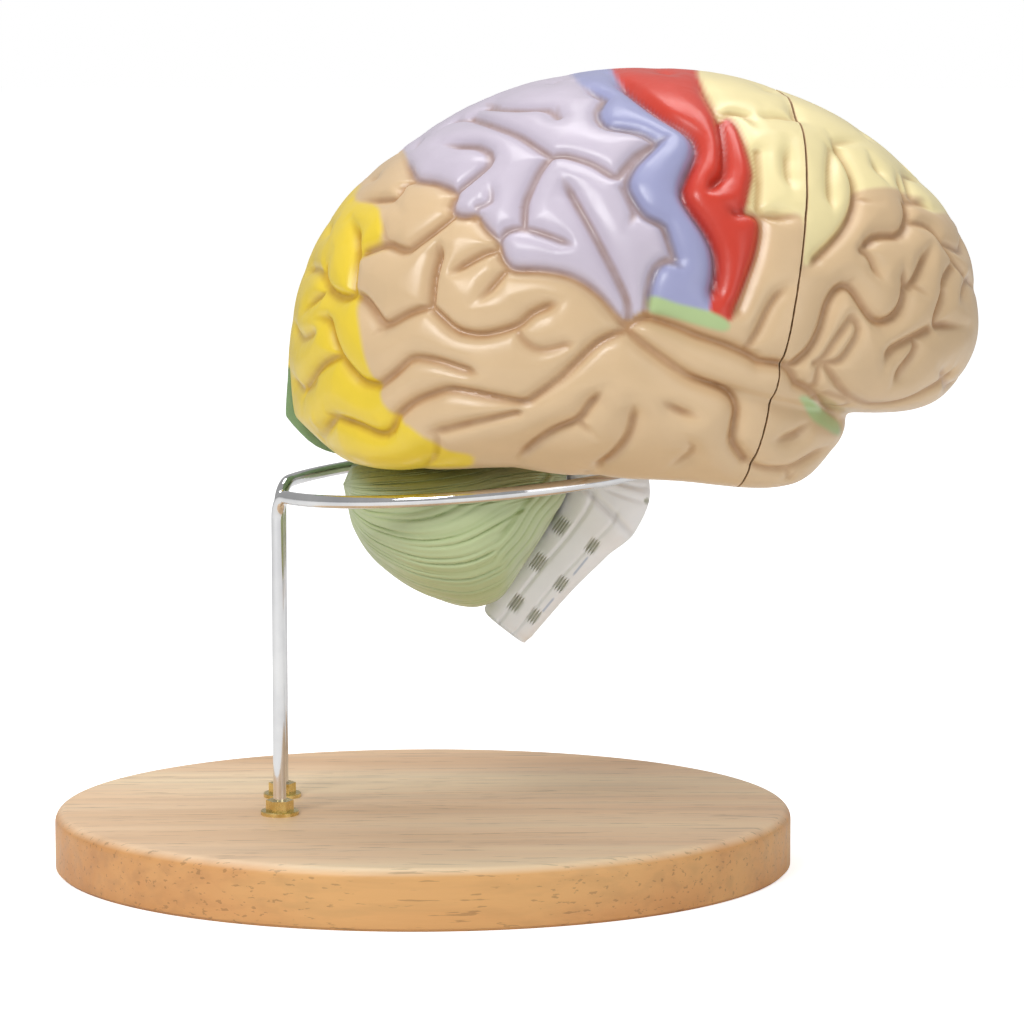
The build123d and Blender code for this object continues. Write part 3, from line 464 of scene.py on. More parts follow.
def skin(reach, turn, slant):
    """Smooth hemisphere in metres about the brain's middle. slant is 0 at the side, 90 at the midline."""
    share = np.sin(slant) ** (2 / FULLNESS)
    depth = np.clip(np.cos(slant), 0, 1) ** (2 / FULLNESS)
    knots, values = zip(*UNDERSIDE_RISE)
    rise = np.interp(np.degrees(turn) % 360, knots, values)
    hollow = smooth_step((slant - HOLLOW_START) / (np.pi / 2 - HOLLOW_START))
    r = reach(turn) * share - rise * hollow
    ahead = -WIDEST_BACK * (1 - share) + r * np.cos(turn)
    above = -WIDEST_DOWN * (1 - share) + r * np.sin(turn)
    across = depth * (1 - FRONT_TAPER * np.clip(ahead, 0, 1) ** 1.5)
    return np.stack([ahead, -across, above], -1) * HALF_SIZE


def drawn(points):
    """Pixels of the drawn view for points about the brain's middle."""
    body = (points + BRAIN_MIDDLE - EYE_TARGET) * PIXELS_PER_METRE
    right = np.array([math.cos(EYE_TURN), math.sin(EYE_TURN), 0])
    ahead = np.array([-math.sin(EYE_TURN) * math.cos(EYE_TILT), math.cos(EYE_TURN) * math.cos(EYE_TILT),
                      -math.sin(EYE_TILT)])
    up = np.cross(right, ahead)
    nearness = EYE_DISTANCE / (EYE_DISTANCE + body @ ahead)
    return np.stack([PICTURE_MIDDLE + nearness * (body @ right),
                     PICTURE_MIDDLE - nearness * (body @ up)], -1)


def on_midline(pixels):
    """Places in the midline plane for drawn pixels."""
    ahead = (pixels[:, 0] - DRAWN_MIDDLE[0]) / PIXELS_PER_METRE
    above = (DRAWN_MIDDLE[1] - pixels[:, 1]) / PIXELS_PER_METRE / math.cos(EYE_TILT)
    return np.stack([ahead, np.zeros_like(ahead), above], -1)


def smooth_route(route, pitch, closed=False):
    """A route through its points as a smooth curve, cut at an even pitch."""
    route = np.array(route, float)
    if closed:
        padded = np.vstack([route[-1], route, route[0], route[1]])
        last = route[0]
    else:
        padded = np.vstack([2 * route[0] - route[1], route, 2 * route[-1] - route[-2]])
        last = route[-1]
    fine = []
    for a, b, c, d in zip(padded, padded[1:], padded[2:], padded[3:]):
        for t in np.linspace(0, 1, 12, endpoint=False):
            fine.append(0.5 * (2 * b + (c - a) * t + (2 * a - 5 * b + 4 * c - d) * t * t
                               + (3 * b - a - 3 * c + d) * t**3))
    fine = np.array(fine + [last])
    along = np.concatenate([[0], np.cumsum(np.linalg.norm(np.diff(fine, axis=0), axis=1))])
    stops = np.linspace(0, along[-1], max(3, int(along[-1] / pitch) + 1))
    return np.stack([np.interp(stops, along, c) for c in fine.T], -1)


def wandered(route, wander):
    """Shifts a drawn route by a slow wave, so that the two halves aren't mirror copies."""
    x, y = np.array(route, float).T
    across, up = WANDER_WAVES
    return np.stack([x + wander * np.sin(y / across + 1), y + wander * np.sin(x / up)], -1)


def on_skin(reach, pixels):
    """The places on the near side of the skin that are seen at these pixels."""
    turns, slants = np.meshgrid(np.arange(0, 360, 3.0), np.arange(2, 90, 3.0))
    seen_side = (turns < HIDDEN_TURNS[0]) | (turns > HIDDEN_TURNS[1]) | (slants < HIDDEN_SLANT)
    turns, slants = np.radians(turns[seen_side]), np.radians(slants[seen_side])
    seen = drawn(skin(reach, turns, slants))
    nearest = np.array([np.argmin(np.sum((seen - p) ** 2, axis=1)) for p in pixels])
    turn, slant = turns[nearest], slants[nearest]
    small = 1e-3
    least_size, longest_step = 20, 0.1
    for _ in range(8):
        now = drawn(skin(reach, turn, slant))
        by_turn = (drawn(skin(reach, turn + small, slant)) - now) / small
        by_slant = (drawn(skin(reach, turn, slant - small)) - now) / -small
        miss = pixels - now
        size = by_turn[:, 0] * by_slant[:, 1] - by_turn[:, 1] * by_slant[:, 0]
        size = np.where(np.abs(size) < least_size, np.sign(size + 1e-9) * least_size, size)
        d_turn = (miss[:, 0] * by_slant[:, 1] - miss[:, 1] * by_slant[:, 0]) / size
        d_slant = (by_turn[:, 0] * miss[:, 1] - by_turn[:, 1] * miss[:, 0]) / size
        turn = turn + np.clip(d_turn, -longest_step, longest_step)
        slant = slant + np.clip(d_slant, -longest_step, longest_step)
        slant = np.clip(slant, math.radians(1), math.radians(89.5))
    return skin(reach, turn, slant)


def outer_lines(reach, wander):
    """Middle lines of the grooves on the outer side, with their depths in mm."""
    lines = []
    for route, deep in GROOVES:
        lines.append((on_skin(reach, wandered(smooth_route(route, ROUTE_PITCH), wander)), deep))
    for route, deep in EDGE_GROOVES:
        turn, slant = np.radians(smooth_route(route, EDGE_ROUTE_PITCH)).T
        lines.append((skin(reach, turn, np.minimum(slant, np.pi / 2)), deep))
    return lines


def nearest_on_line(points, line):
    """Distance from each point to a line of short runs, and the place along it counted in runs."""
    best = np.full(len(points), 1.0)
    place = np.zeros(len(points))
    for k, (start, run) in enumerate(zip(line, np.diff(line, axis=0))):
        away = points - start
        t = np.clip(away @ run / (run @ run + 1e-12), 0, 1)
        gap = np.linalg.norm(away - t[:, None] * run, axis=1)
        closer = gap < best
        best = np.where(closer, gap, best)
        place = np.where(closer, k + t, place)
    return best, place


def joins(end, line, lines):
    """Whether an end of a groove meets another groove."""
    return any(other is not line and np.linalg.norm(other - end, axis=1).min() < JOINED * MM
               for other, _ in lines)


def lay_grooves(points, lines):
    """Depth of the carving at each point, and its share of painted shade for lying in a groove's narrow
    slot.
    """
    depth, slot = np.zeros(len(points)), np.zeros(len(points))
    margin = GROOVE_REACH * MM
    for line, deep in lines:
        low, high = line.min(0) - margin, line.max(0) + margin
        where = np.nonzero(np.all((points > low) & (points < high), axis=1))[0]
        gap, place = nearest_on_line(points[where], line)
        from_start = place + END_RUNS * joins(line[0], line, lines)
        from_end = len(line) - 1 - place + END_RUNS * joins(line[-1], line, lines)
        fade = END_SHARE + (1 - END_SHARE) * smooth_step(np.minimum(from_start, from_end) / END_RUNS)
        narrow = np.exp(-((gap / (SLOT_HALF_WIDTH * MM)) ** 2)) * fade
        wide = np.exp(-np.hypot(gap, VALLEY_SOFTNESS * MM) / (VALLEY_HALF_WIDTH * MM)) * fade
        carved = deep * DEEPENED * MM * (SLOT_SHARE * narrow + (1 - SLOT_SHARE) * wide)
        depth[where] = np.maximum(depth[where], carved)
        # Painted shade, strongest in the narrow slot of deep grooves
        slot[where] = np.maximum(slot[where], narrow * min(1.0, deep / FULL_SHADE_DEPTH))
    return depth, slot


def inside(outline, pixels):
    """Which pixels lie inside a closed outline."""
    x, y = pixels[:, 0], pixels[:, 1]
    hit = np.zeros(len(pixels), bool)
    for (xa, ya), (xb, yb) in zip(outline, np.roll(outline, -1, axis=0)):
        if ya != yb:
            hit ^= ((ya > y) != (yb > y)) & (x < (xb - xa) * (y - ya) / (yb - ya) + xa)
    return hit


def field_share(outline, pixels, soft):
    """How far each pixel is within a closed outline, from 0 outside to 1 inside, with a soft edge."""
    near = np.full(len(pixels), soft)
    for a, b in zip(outline, np.roll(outline, -1, axis=0)):
        low, high = np.minimum(a, b) - soft, np.maximum(a, b) + soft
        where = np.nonzero(np.all((pixels > low) & (pixels < high), axis=1))[0]
        run = b - a
        away = pixels[where] - a
        t = np.clip(away @ run / (run @ run + 1e-9), 0, 1)
        near[where] = np.minimum(near[where], np.linalg.norm(away - t[:, None] * run, axis=1))
    sign = np.where(inside(outline, pixels), 1, -1)
    return smooth_step(0.5 + 0.5 * sign * near / soft)


def paint_fields(colours, pixels, fields, wander, soft=3.0):
    """Paints each field over the colours, with soft edges."""
    for colour, outline in fields:
        share = field_share(wandered(smooth_route(outline, 4.0, closed=True), wander), pixels, soft)
        colours += share[:, None] * (np.array(display(*colour)) - colours)


# Mesh tools


def deselect():
    bpy.ops.object.select_all(action="DESELECT")


def pick(piece):
    """Makes this the one selected and active piece."""
    deselect()
    piece.select_set(True)
    bpy.context.view_layer.objects.active = piece


def start_piece(name):
    """Names the primitive that was just added, and returns it."""
    piece = bpy.context.object
    piece.name = name
    piece.data.name = name
    return piece


def edit(piece):
    pick(piece)
    bpy.ops.object.mode_set(mode="EDIT")
    bpy.ops.mesh.select_all(action="SELECT")


def leave_edit():
    bpy.ops.object.mode_set(mode="OBJECT")


def corners(piece):
    co = np.empty(len(piece.data.vertices) * 3)
    piece.data.vertices.foreach_get("co", co)
    return co.reshape(-1, 3)


def set_corners(piece, co):
    piece.data.vertices.foreach_set("co", np.ascontiguousarray(co).ravel())
    piece.data.update()


def set_paint(piece, colours, hollow):
    """Stores the paint of each corner and how deep it lies in a groove, which the finish darkens as painted
    shade.
    """
    rgba = np.ones((len(colours), 4))
    rgba[:, :3] = colours
    layer = piece.data.color_attributes.new("paint", "FLOAT_COLOR", "POINT")
    layer.data.foreach_set("color", rgba.ravel())
    # hollow: how much painted shade the finish puts on the corner
    layer = piece.data.attributes.new("hollow", "FLOAT", "POINT")
    layer.data.foreach_set("value", hollow)


def face_outward(piece):
    edit(piece)
    bpy.ops.mesh.normals_make_consistent(inside=False)
    leave_edit()


def smooth_all(piece, angle=50):
    pick(piece)
    bpy.ops.object.shade_smooth_by_angle(angle=math.radians(angle))


def ball_of_squares(name, cells):
    """A ball with cells squares along each of its six sides, cut round at the midline rim."""
    deselect()
    bpy.ops.mesh.primitive_cube_add(size=2)
    piece = start_piece(name)
    edit(piece)
    bpy.ops.mesh.subdivide(number_cuts=11)
    bpy.ops.mesh.subdivide(number_cuts=cells // 12 - 1)
    leave_edit()
    facing = np.tan(corners(piece) * math.pi / 4)
    set_corners(piece, facing / np.linalg.norm(facing, axis=1, keepdims=True))
    edit(piece)
    bpy.ops.mesh.bisect(plane_co=(0, -math.cos(RIM_SLANT), 0), plane_no=(0, 1, 0))
    leave_edit()
    return piece


def ball_of_rings(name, around, along):
    """A ball of rings: the piece, the share from pole to pole and the angle round of each corner."""
    deselect()
    bpy.ops.mesh.primitive_uv_sphere_add(segments=around, ring_count=along, radius=1)
    piece = start_piece(name)
    ball = corners(piece)
    share = np.arccos(np.clip(ball[:, 2], -1, 1)) / np.pi
    return piece, share, np.arctan2(ball[:, 1], ball[:, 0])


def round_cutter(place, direction, radius, reach):
    """A rod about a place in mm from the brain's middle, along X or Y, that cuts a socket."""
    deselect()
    turned = (0, math.pi / 2, 0) if direction == "X" else (math.pi / 2, 0, 0)
    bpy.ops.mesh.primitive_cylinder_add(vertices=40, radius=radius, depth=2 * reach, rotation=turned,
                                        location=BRAIN_MIDDLE + np.array(place) * MM)
    bpy.ops.object.transform_apply(location=True, rotation=True, scale=True)
    return bpy.context.object


def block_cutter(low, high):
    """A block between two corners in mm about the brain's middle."""
    deselect()
    bpy.ops.mesh.primitive_cube_add(size=1)
    piece = bpy.context.object
    low, high = np.array(low) * MM, np.array(high) * MM
    set_corners(piece, BRAIN_MIDDLE + (low + high) / 2 + corners(piece) * (high - low))
    return piece


def cut_away(piece, cutters, colour):
    """Cuts the cutters from the piece; the walls of the cuts get the colour."""
    deselect()
    for cutter in cutters:
        cutter.select_set(True)
    bpy.context.view_layer.objects.active = cutters[0]
    if len(cutters) > 1:
        bpy.ops.object.join()
    tool = bpy.context.object
    count = len(tool.data.vertices)
    set_paint(tool, np.tile(display(*colour), (count, 1)), np.zeros(count))
    pick(piece)
    bpy.ops.object.modifier_add(type="BOOLEAN")
    cut = piece.modifiers[-1]
    cut.operation = "DIFFERENCE"
    cut.solver = "MANIFOLD"
    cut.object = tool
    bpy.ops.object.modifier_apply(modifier=cut.name)
    pick(tool)
    bpy.ops.object.delete()


def place_piece(piece, body, node, material):
    """Gives the piece its finish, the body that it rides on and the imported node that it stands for."""
    piece.data.materials.clear()
    piece.data.materials.append(material)
    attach(piece, body)
    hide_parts(node)


# The cerebrum


def seam_cut(piece, shift, keep_front):
    """Cuts a half at the oblique seam and closes it with a flat face."""
    edit(piece)
    point = Vector(BRAIN_MIDDLE) + Vector((SEAM_AHEAD + shift, 0, 0))
    side = 1 if piece.name.startswith("right") else -1
    facing = (1.0, side * SEAM_SWEEP, -SEAM_LEAN)
    bpy.ops.mesh.bisect(plane_co=point, plane_no=facing, use_fill=True,
                        clear_inner=keep_front, clear_outer=not keep_front)
    leave_edit()


def flatten_seam(piece, shift):
    """Shades the flat face at the seam flat, so that the rounded rim doesn't bend its shading."""
    count = len(piece.data.polygons)
    middles = np.empty(count * 3)
    piece.data.polygons.foreach_get("center", middles)
    away = middles.reshape(-1, 3) - BRAIN_MIDDLE
    from_seam = away[:, 0] - SEAM_AHEAD - shift - SEAM_SWEEP * np.abs(away[:, 1]) - SEAM_LEAN * away[:, 2]
    smooth = np.abs(from_seam) > SEAM_FACE_ROOM
    piece.data.polygons.foreach_set("use_smooth", smooth)
    piece.data.update()


def outer_paint(pixels, side):
    """Colours of the outer side at drawn pixels."""
    colours = np.tile(display(*TAN), (len(pixels), 1))
    wander = LEFT_WANDER if side > 0 else 0.0
    paint_fields(colours, pixels, FIELDS, wander)
    if side > 0:
        paint_fields(colours, pixels, LEFT_FIELDS, wander)
    return colours


def half_places(reach, ball):
    """Places on a half for the corners of a ball, which of them are on its outer side, their slant, and
    the way from the middle to the rim of those on the midline face."""
    from_side = np.arccos(np.clip(-ball[:, 1], -1, 1))
    turn = np.arctan2(ball[:, 2], ball[:, 0])
    outer = from_side <= RIM_SLANT + 1e-6
    slant = np.clip(from_side * (np.pi / 2) / RIM_SLANT, 0.02, np.pi / 2)
    place = skin(reach, turn, slant)
    share = (np.pi - from_side) / (np.pi - RIM_SLANT)
    rim = skin(reach, turn, np.full_like(turn, np.pi / 2))
    place[~outer] = rim[~outer] * share[~outer, None]
    place[:, 1][~outer] = 0
    return place, outer, slant, share


def half_paint(place, outer, side):
    """Colours of a half: the outer side's, and over them the fields of the midline face."""
    pixels = drawn(place)
    colours = outer_paint(pixels, side)
    inner = colours[~outer]
    paint_fields(inner, pixels[~outer], MIDLINE_FIELDS, 0.0)
    colours[~outer] = inner
    return colours


def half_carving(reach, place, outer, side):
    """Depth of the carving at each corner of a half, and how far it lies in a slot, which gets painted
    shade.
    """
    depth, slot = np.zeros(len(place)), np.zeros(len(place))
    lines = outer_lines(reach, LEFT_WANDER if side > 0 else 0.0)
    depth[outer], slot[outer] = lay_grooves(place[outer], lines)
    lines = [(on_midline(smooth_route(r, ROUTE_PITCH)), deep) for r, deep in MIDLINE_GROOVES]
    depth[~outer], slot[~outer] = lay_grooves(place[~outer], lines)
    return depth, slot


def half_form(side):
    """One half of the cerebrum, shaped and painted from the corners of a ball."""
    reach = SideReach(LEFT_OVERHANG if side > 0 else 0.0)
    piece = ball_of_squares(f"{SIDE_NAMES[side]}_half", BALL_CELLS)
    place, outer, slant, share = half_places(reach, corners(piece))
    colours = half_paint(place, outer, side)
    depth, slot = half_carving(reach, place, outer, side)
    inward = place / (np.linalg.norm(place, axis=1, keepdims=True) + 1e-9) * (depth[:, None] + SKIN_BELOW)
    inward[~outer] = 0
    inward[~outer, 1] = depth[~outer] * smooth_step((1 - share[~outer]) / MIDLINE_EDGE)
    inward[outer & (slant > np.pi / 2 - 1e-6), 1] = 0
    place = place - inward
    place[:, 1] -= HALF_GAP
    if side > 0:
        place[:, 1] *= -1
    set_corners(piece, place + BRAIN_MIDDLE)
    # The slot share goes to the paint as hollow, which the finish darkens as painted shade in the grooves.
    set_paint(piece, colours, slot)
    edit(piece)
    bpy.ops.mesh.vertices_smooth(factor=0.5, repeat=3)
    leave_edit()
    face_outward(piece)
    return piece


def cerebrum_sockets(side, front):
    """Rods and blocks that cut the sockets of the pins, and the seat of the brainstem, from a casting."""
    cutters = []
    for ahead, across, above in FRONTAL_PINS:
        place = (ahead, side * across, above)
        cutters.append(round_cutter(place, "X", SOCKET_RADIUS, PIN_SOCKET_DEPTH))
    if not front:
        for ahead, above in MIDLINE_PINS:
            cutters.append(round_cutter((ahead, 0, above), "Y", SOCKET_RADIUS, PIN_SOCKET_DEPTH))
        low = (SEAT_BACK, -SEAT_HALF_WIDTH, SEAT_CEILING - 40)
        high = (SEAT_FRONT, SEAT_HALF_WIDTH, SEAT_CEILING)
        cutters.append(block_cutter(low, high))
    return cutters


def cerebrum_side(side, material):
    """Rear and frontal casting of one half."""
    name = SIDE_NAMES[side]
    half = half_form(side)
    pick(half)
    bpy.ops.object.duplicate()
    front = bpy.context.object
    half.name = f"{name}_rear_casting"
    front.name = f"{name}_frontal_casting"
    seam_cut(half, -SEAM_GAP / 2, keep_front=False)
    seam_cut(front, SEAM_GAP / 2, keep_front=True)
    cut_away(half, cerebrum_sockets(side, front=False), TAN)
    cut_away(front, cerebrum_sockets(side, front=True), TAN)
    for piece, body, node in ((half, f"{name}_hemisphere", f"{name}_rear_hemisphere"),
                              (front, f"{name}_frontal", f"{name}_frontal_part")):
        smooth_all(piece)
        flatten_seam(piece, SEAM_GAP / 2 if piece is front else -SEAM_GAP / 2)
        place_piece(piece, body, node, material)


# The cerebellum and the brainstem


def through_knots(knots, values, at):
    """A smooth curve through the knots that never overshoots them."""
    knots, values = np.array(knots, float), np.array(values, float)
    step = np.diff(knots)
    rise = np.diff(values) / step
    slope = np.zeros(len(knots))
    slope[0], slope[-1] = rise[0], rise[-1]
    for k in range(1, len(knots) - 1):
        if rise[k - 1] * rise[k] > 0:
            first, second = 2 * step[k] + step[k - 1], step[k] + 2 * step[k - 1]
            slope[k] = (first + second) / (first / rise[k - 1] + second / rise[k])
    k = np.clip(np.searchsorted(knots, at, side="right") - 1, 0, len(step) - 1)
    t = (at - knots[k]) / step[k]
    curve = values[k] * (1 + 2 * t) * (1 - t) ** 2 + values[k + 1] * t * t * (3 - 2 * t)
    return curve + step[k] * (slope[k] * t * (1 - t) ** 2 - slope[k + 1] * t * t * (1 - t))


def half_round(angle):
    """Splits the way round a half body: on its outer side or not, and a slant from -90 to 90 or a
    place on the flat midline from -1 at the lower edge to 1 at the upper."""
    outer = np.abs(angle) <= HALF_ROUND
    slant = np.clip(angle / HALF_ROUND, -1, 1) * np.pi / 2
    across = np.sign(angle) * (np.pi - np.abs(angle)) / (np.pi - HALF_ROUND)
    return outer, slant, across


def stripe(value, half_width):
    """Share of a groove for each whole number that value passes."""
    return np.exp(-(((value - np.round(value)) / half_width) ** 2))


def along_stem(pixels):
    """Distance behind the stem's back edge and down along it, in drawn pixels."""
    top, foot = np.array(STEM_BACK_EDGE)
    run = (foot - top) / np.linalg.norm(foot - top)
    away = pixels - top
    return -away @ np.array([run[1], -run[0]]), away @ run


def stem_lobule(pixels):
    """The lobule behind the stem: where it is, and the depth of its leaves and of the crease beside it."""
    behind, down = along_stem(pixels)
    upper_end = smooth_step(down / 6)
    lobule = smooth_step((LOBULE_WIDTH - behind) / 3) * smooth_step((LOBULE_LENGTH - down) / 25) * upper_end
    leaves = stripe(behind / LOBULE_PITCH + 0.15 * np.sin(down / 9), LEAF_SLOT) * 0.8
    crease = np.exp(-(((behind - CREASE_PLACE) / CREASE_HALF_WIDTH) ** 2))
    return lobule, leaves, crease * smooth_step((CREASE_LENGTH - down) / 30) * upper_end


def leaf_depth(share, slant, pixels):
    """How deep the fine grooves between the leaves of the cerebellum are, from 0 to about 1."""
    count = LEAF_GROOVES * (slant / np.pi + 0.5)
    count = count - LEAF_RISE * smooth_step((share - RISE_START) / RISE_SPAN)
    count = count + 0.5 * np.sin(5 * share + 3 * slant) + 0.25 * np.sin(17 * share)
    strength = 0.55 + 0.45 * np.sin(7 * share + 1.9 * np.round(count))
    bundles = stripe(count / BUNDLE + 0.25 * np.sin(3 * share), BUNDLE_SLOT)
    leaves = stripe(count, LEAF_SLOT) * strength + 0.5 * bundles
    lobule, beside, crease = stem_lobule(pixels)
    ends = smooth_step(share / 0.08) * smooth_step((1 - share) / 0.05)
    return (leaves * (1 - lobule) + beside * lobule + crease) * ends


def leaf_tree(across, swing):
    """Share of white on the midline face of the cerebellum: a core with branches."""
    x, z = 2 * (swing - 0.5), across
    radius, angle = np.hypot(x, z), np.arctan2(z, x)
    edge = 0.42 + 0.34 * np.abs(np.cos(3.5 * angle + 0.6)) ** 2
    return smooth_step((edge - radius) / 0.06)


def cerebellum_form(side):
    """One half of the cerebellum with its fan of leaves."""
    name = SIDE_NAMES[side]
    piece, share, angle = ball_of_rings(f"{name}_cerebellum_casting", *CEREBELLUM_RINGS)
    outer, slant, across = half_round(angle)
    along, wide, high, low = zip(*CEREBELLUM_SECTIONS)
    swing = (1 - np.cos(np.pi * share)) / 2
    stop = along[0] + (along[-1] - along[0]) * swing
    wide, high, low = (through_knots(along, c, stop) for c in (wide, high, low))
    high = high * HALF_SIZE[2] / MM
    reach = np.where(slant > 0, high, low)
    sideways, upward = CEREBELLUM_ROUNDING
    beside = CEREBELLUM_HALF_WIDTH * wide * np.cos(slant).clip(0) ** sideways
    above = reach * np.sign(slant) * np.abs(np.sin(slant)) ** upward
    above = np.where(outer, above, (high - low) / 2 + across * (high + low) / 2)
    beside = np.where(outer, beside, 0)
    place = np.stack([RING_MIDDLE_X + stop * RING_HALF_LENGTH, -beside, CEREBELLUM_AXIS + above], -1) * MM
    pixels = drawn(place - BRAIN_MIDDLE)
    depth = np.where(outer, leaf_depth(share, slant, pixels), 0)
    edge = smooth_step((1 - np.abs(slant) / (np.pi / 2)) / 0.04)
    inward = (LEAF_DEPTH * depth * edge + 0.12) * MM
    middle = np.array([RING_MIDDLE_X, 0, CEREBELLUM_AXIS]) * MM
    radial = place - middle
    radial[:, 0] = 0
    place -= radial / (np.linalg.norm(radial, axis=1, keepdims=True) + 1e-6) * inward[:, None]
    place[:, 1] = np.where(outer & (np.abs(slant) < np.pi / 2 - 1e-6), place[:, 1], 0) - HALF_GAP
    white = np.where(outer, 0, leaf_tree(across, swing))
    green, pale = np.array(display(*LEAF_GREEN)), np.array(display(*OFF_WHITE))
    if side > 0:
        place[:, 1] *= -1
    set_corners(piece, place)
    # The depth of the leaf grooves goes to the paint as hollow, which the finish darkens as painted shade.
    set_paint(piece, green + white[:, None] * (pale - green), np.clip(depth, 0, 1) * edge)
    face_outward(piece)
    return piece


def trough_cutter():
    """The trough in front of the cerebellum that the stem lies in, with room all round."""
    deselect()
    bpy.ops.mesh.primitive_grid_add(x_subdivisions=2 * len(STEM_SECTIONS), y_subdivisions=1, size=2)
    piece = bpy.context.object
    edit(piece)
    bpy.ops.mesh.extrude_region_move(TRANSFORM_OT_translate={"value": (0, 0, 1)})
    leave_edit()
    back = [(BRAIN_MIDDLE[0] / MM + ahead - depth / 2 * math.cos(math.radians(lean)) - STEM_CLEARANCE,
             STEM_TOP - below + depth / 2 * math.sin(math.radians(lean)))
            for ahead, below, lean, depth, _ in STEM_SECTIONS]
    heights = [z for _, z in back][::-1]
    top, foot = heights[-1] + 1, heights[0] - TROUGH_BELOW
    co = corners(piece)
    z = foot + (co[:, 0] + 1) / 2 * (top - foot)
    x_back = np.interp(z, heights, [x for x, _ in back][::-1])
    x = np.where(co[:, 2] > 0.5, TROUGH_FRONT, x_back)
    y = co[:, 1] * (max(s[4] for s in STEM_SECTIONS) + STEM_CLEARANCE)
    set_corners(piece, np.stack([x, y, z], -1) * MM)
    face_outward(piece)
    return piece


def cerebellum_side(side, material):
    """One half of the cerebellum with its trough and sockets."""
    piece = cerebellum_form(side)
    cutters = [trough_cutter()]
    for ahead, above in CEREBELLUM_PINS:
        cutters.append(round_cutter((ahead, 0, above), "Y", SMALL_SOCKET_RADIUS, SMALL_SOCKET_DEPTH))
    cut_away(piece, cutters, LEAF_GREEN)
    smooth_all(piece)
    name = SIDE_NAMES[side]
    place_piece(piece, "stand", f"{name}_cerebellum", material)


def near_line(pixels, start, end):
    """Distance in pixels from a straight line between two drawn places."""
    start, run = np.array(start, float), np.array(end, float) - np.array(start, float)
    t = np.clip((pixels - start) @ run / (run @ run), 0, 1)
    return np.linalg.norm(pixels - start - t[:, None] * run, axis=1)


def stem_marks(pixels):
    """Shares of the root patches, the thin blue lines and the dark tip on the stem."""
    over_stem = np.array([STEM_DOWN[1], -STEM_DOWN[0]])
    roots = np.zeros(len(pixels))
    for centre, half_length, half_width in ROOT_PATCHES:
        away = pixels - np.array(centre)
        down, over = away @ STEM_DOWN, away @ over_stem
        comb = np.sin(ROOTLETS * over)
        patch = smooth_step((half_length - np.abs(down) + 2 * comb) / 4)
        patch *= smooth_step((half_width - np.abs(over)) / 3.5)
        roots = np.maximum(roots, patch * (0.8 + 0.2 * comb))
    lines = np.zeros(len(pixels))
    for start, end in STEM_LINES:
        lines = np.maximum(lines, smooth_step((1.7 - near_line(pixels, start, end)) / 1.4))
    tip = smooth_step((TIP_RADIUS - np.linalg.norm(pixels - STEM_TIP, axis=1)) / 2)
    return roots, lines, tip


def stem_relief(fore, below):
    """Depth in mm of the ridges and bands on the side of the stem. fore is -1 at the back, 1 in front."""
    ridges = sum(high * np.exp(-(((fore - at) / wide) ** 2)) for at, wide, high in STEM_RIDGES)
    swell = smooth_step((26 - below) / 4) * smooth_step((below - 4) / 3)
    bands = swell * smooth_step((fore + 0.2) / 0.2) * stripe(below / 2.6 + 0.4 * fore, 0.2) * 0.5
    groove = 0.9 * np.exp(-(((below - 27.5 - 2 * fore) / 0.9) ** 2))
    return ridges * smooth_step((below - 24) / 5) + bands + groove


def stem_places(share, outer, slant, across):
    """Places of the stem's corners, and how far each lies to the front, below the top and off its ends."""
    cap = np.minimum(1, np.minimum(share, 1 - share) / CAP_SHARE)
    below = np.clip((share - CAP_SHARE) / (1 - 2 * CAP_SHARE), 0, 1) * STEM_SECTIONS[-1][1]
    ahead, knots, lean, depth, half_width = zip(*STEM_SECTIONS)
    curves = (through_knots(knots, c, below) for c in (ahead, lean, depth, half_width))
    ahead, lean, depth, half_width = curves
    fore = np.where(outer, np.sign(slant) * np.abs(np.sin(slant)) ** STEM_ROUNDING, across)
    out = np.where(outer, half_width * np.cos(slant).clip(0) ** STEM_ROUNDING, 0)
    rounding = 1 - 0.05 * smooth_step(1 - (STEM_SECTIONS[-1][1] - below) / 2.0)
    turn = np.radians(lean)
    fore_mm = depth / 2 * fore * cap * rounding
    out = (out - 0.5 * half_width) * cap + 0.5 * half_width
    out = np.where(cap < 1, out, out * rounding)
    out = np.where(outer | (cap < 1), out, 0)
    x = BRAIN_MIDDLE[0] / MM + ahead + fore_mm * np.cos(turn)
    z = STEM_TOP - below - fore_mm * np.sin(turn)
    return np.stack([x, -out, z], -1) * MM, fore, below, cap


def stem_colours(outer, across, roots, lines, tip):
    """Off-white with its marks, and a dusky canal on the midline face."""
    colours = np.tile(display(*OFF_WHITE), (len(outer), 1))
    for shade, mark in ((LINE_BLUE, lines), (ROOT_GREY, roots), (ROOT_GREY, tip)):
        strength = mark * np.where(outer, 1, 0)
        colours += strength[:, None] * (np.array(display(*shade)) - colours)
    canal = np.where(outer, 0, np.exp(-(((across + 0.45) / 0.05) ** 2)))
    return colours + canal[:, None] * (np.array(display(*DUSKY_BLUE)) - colours)


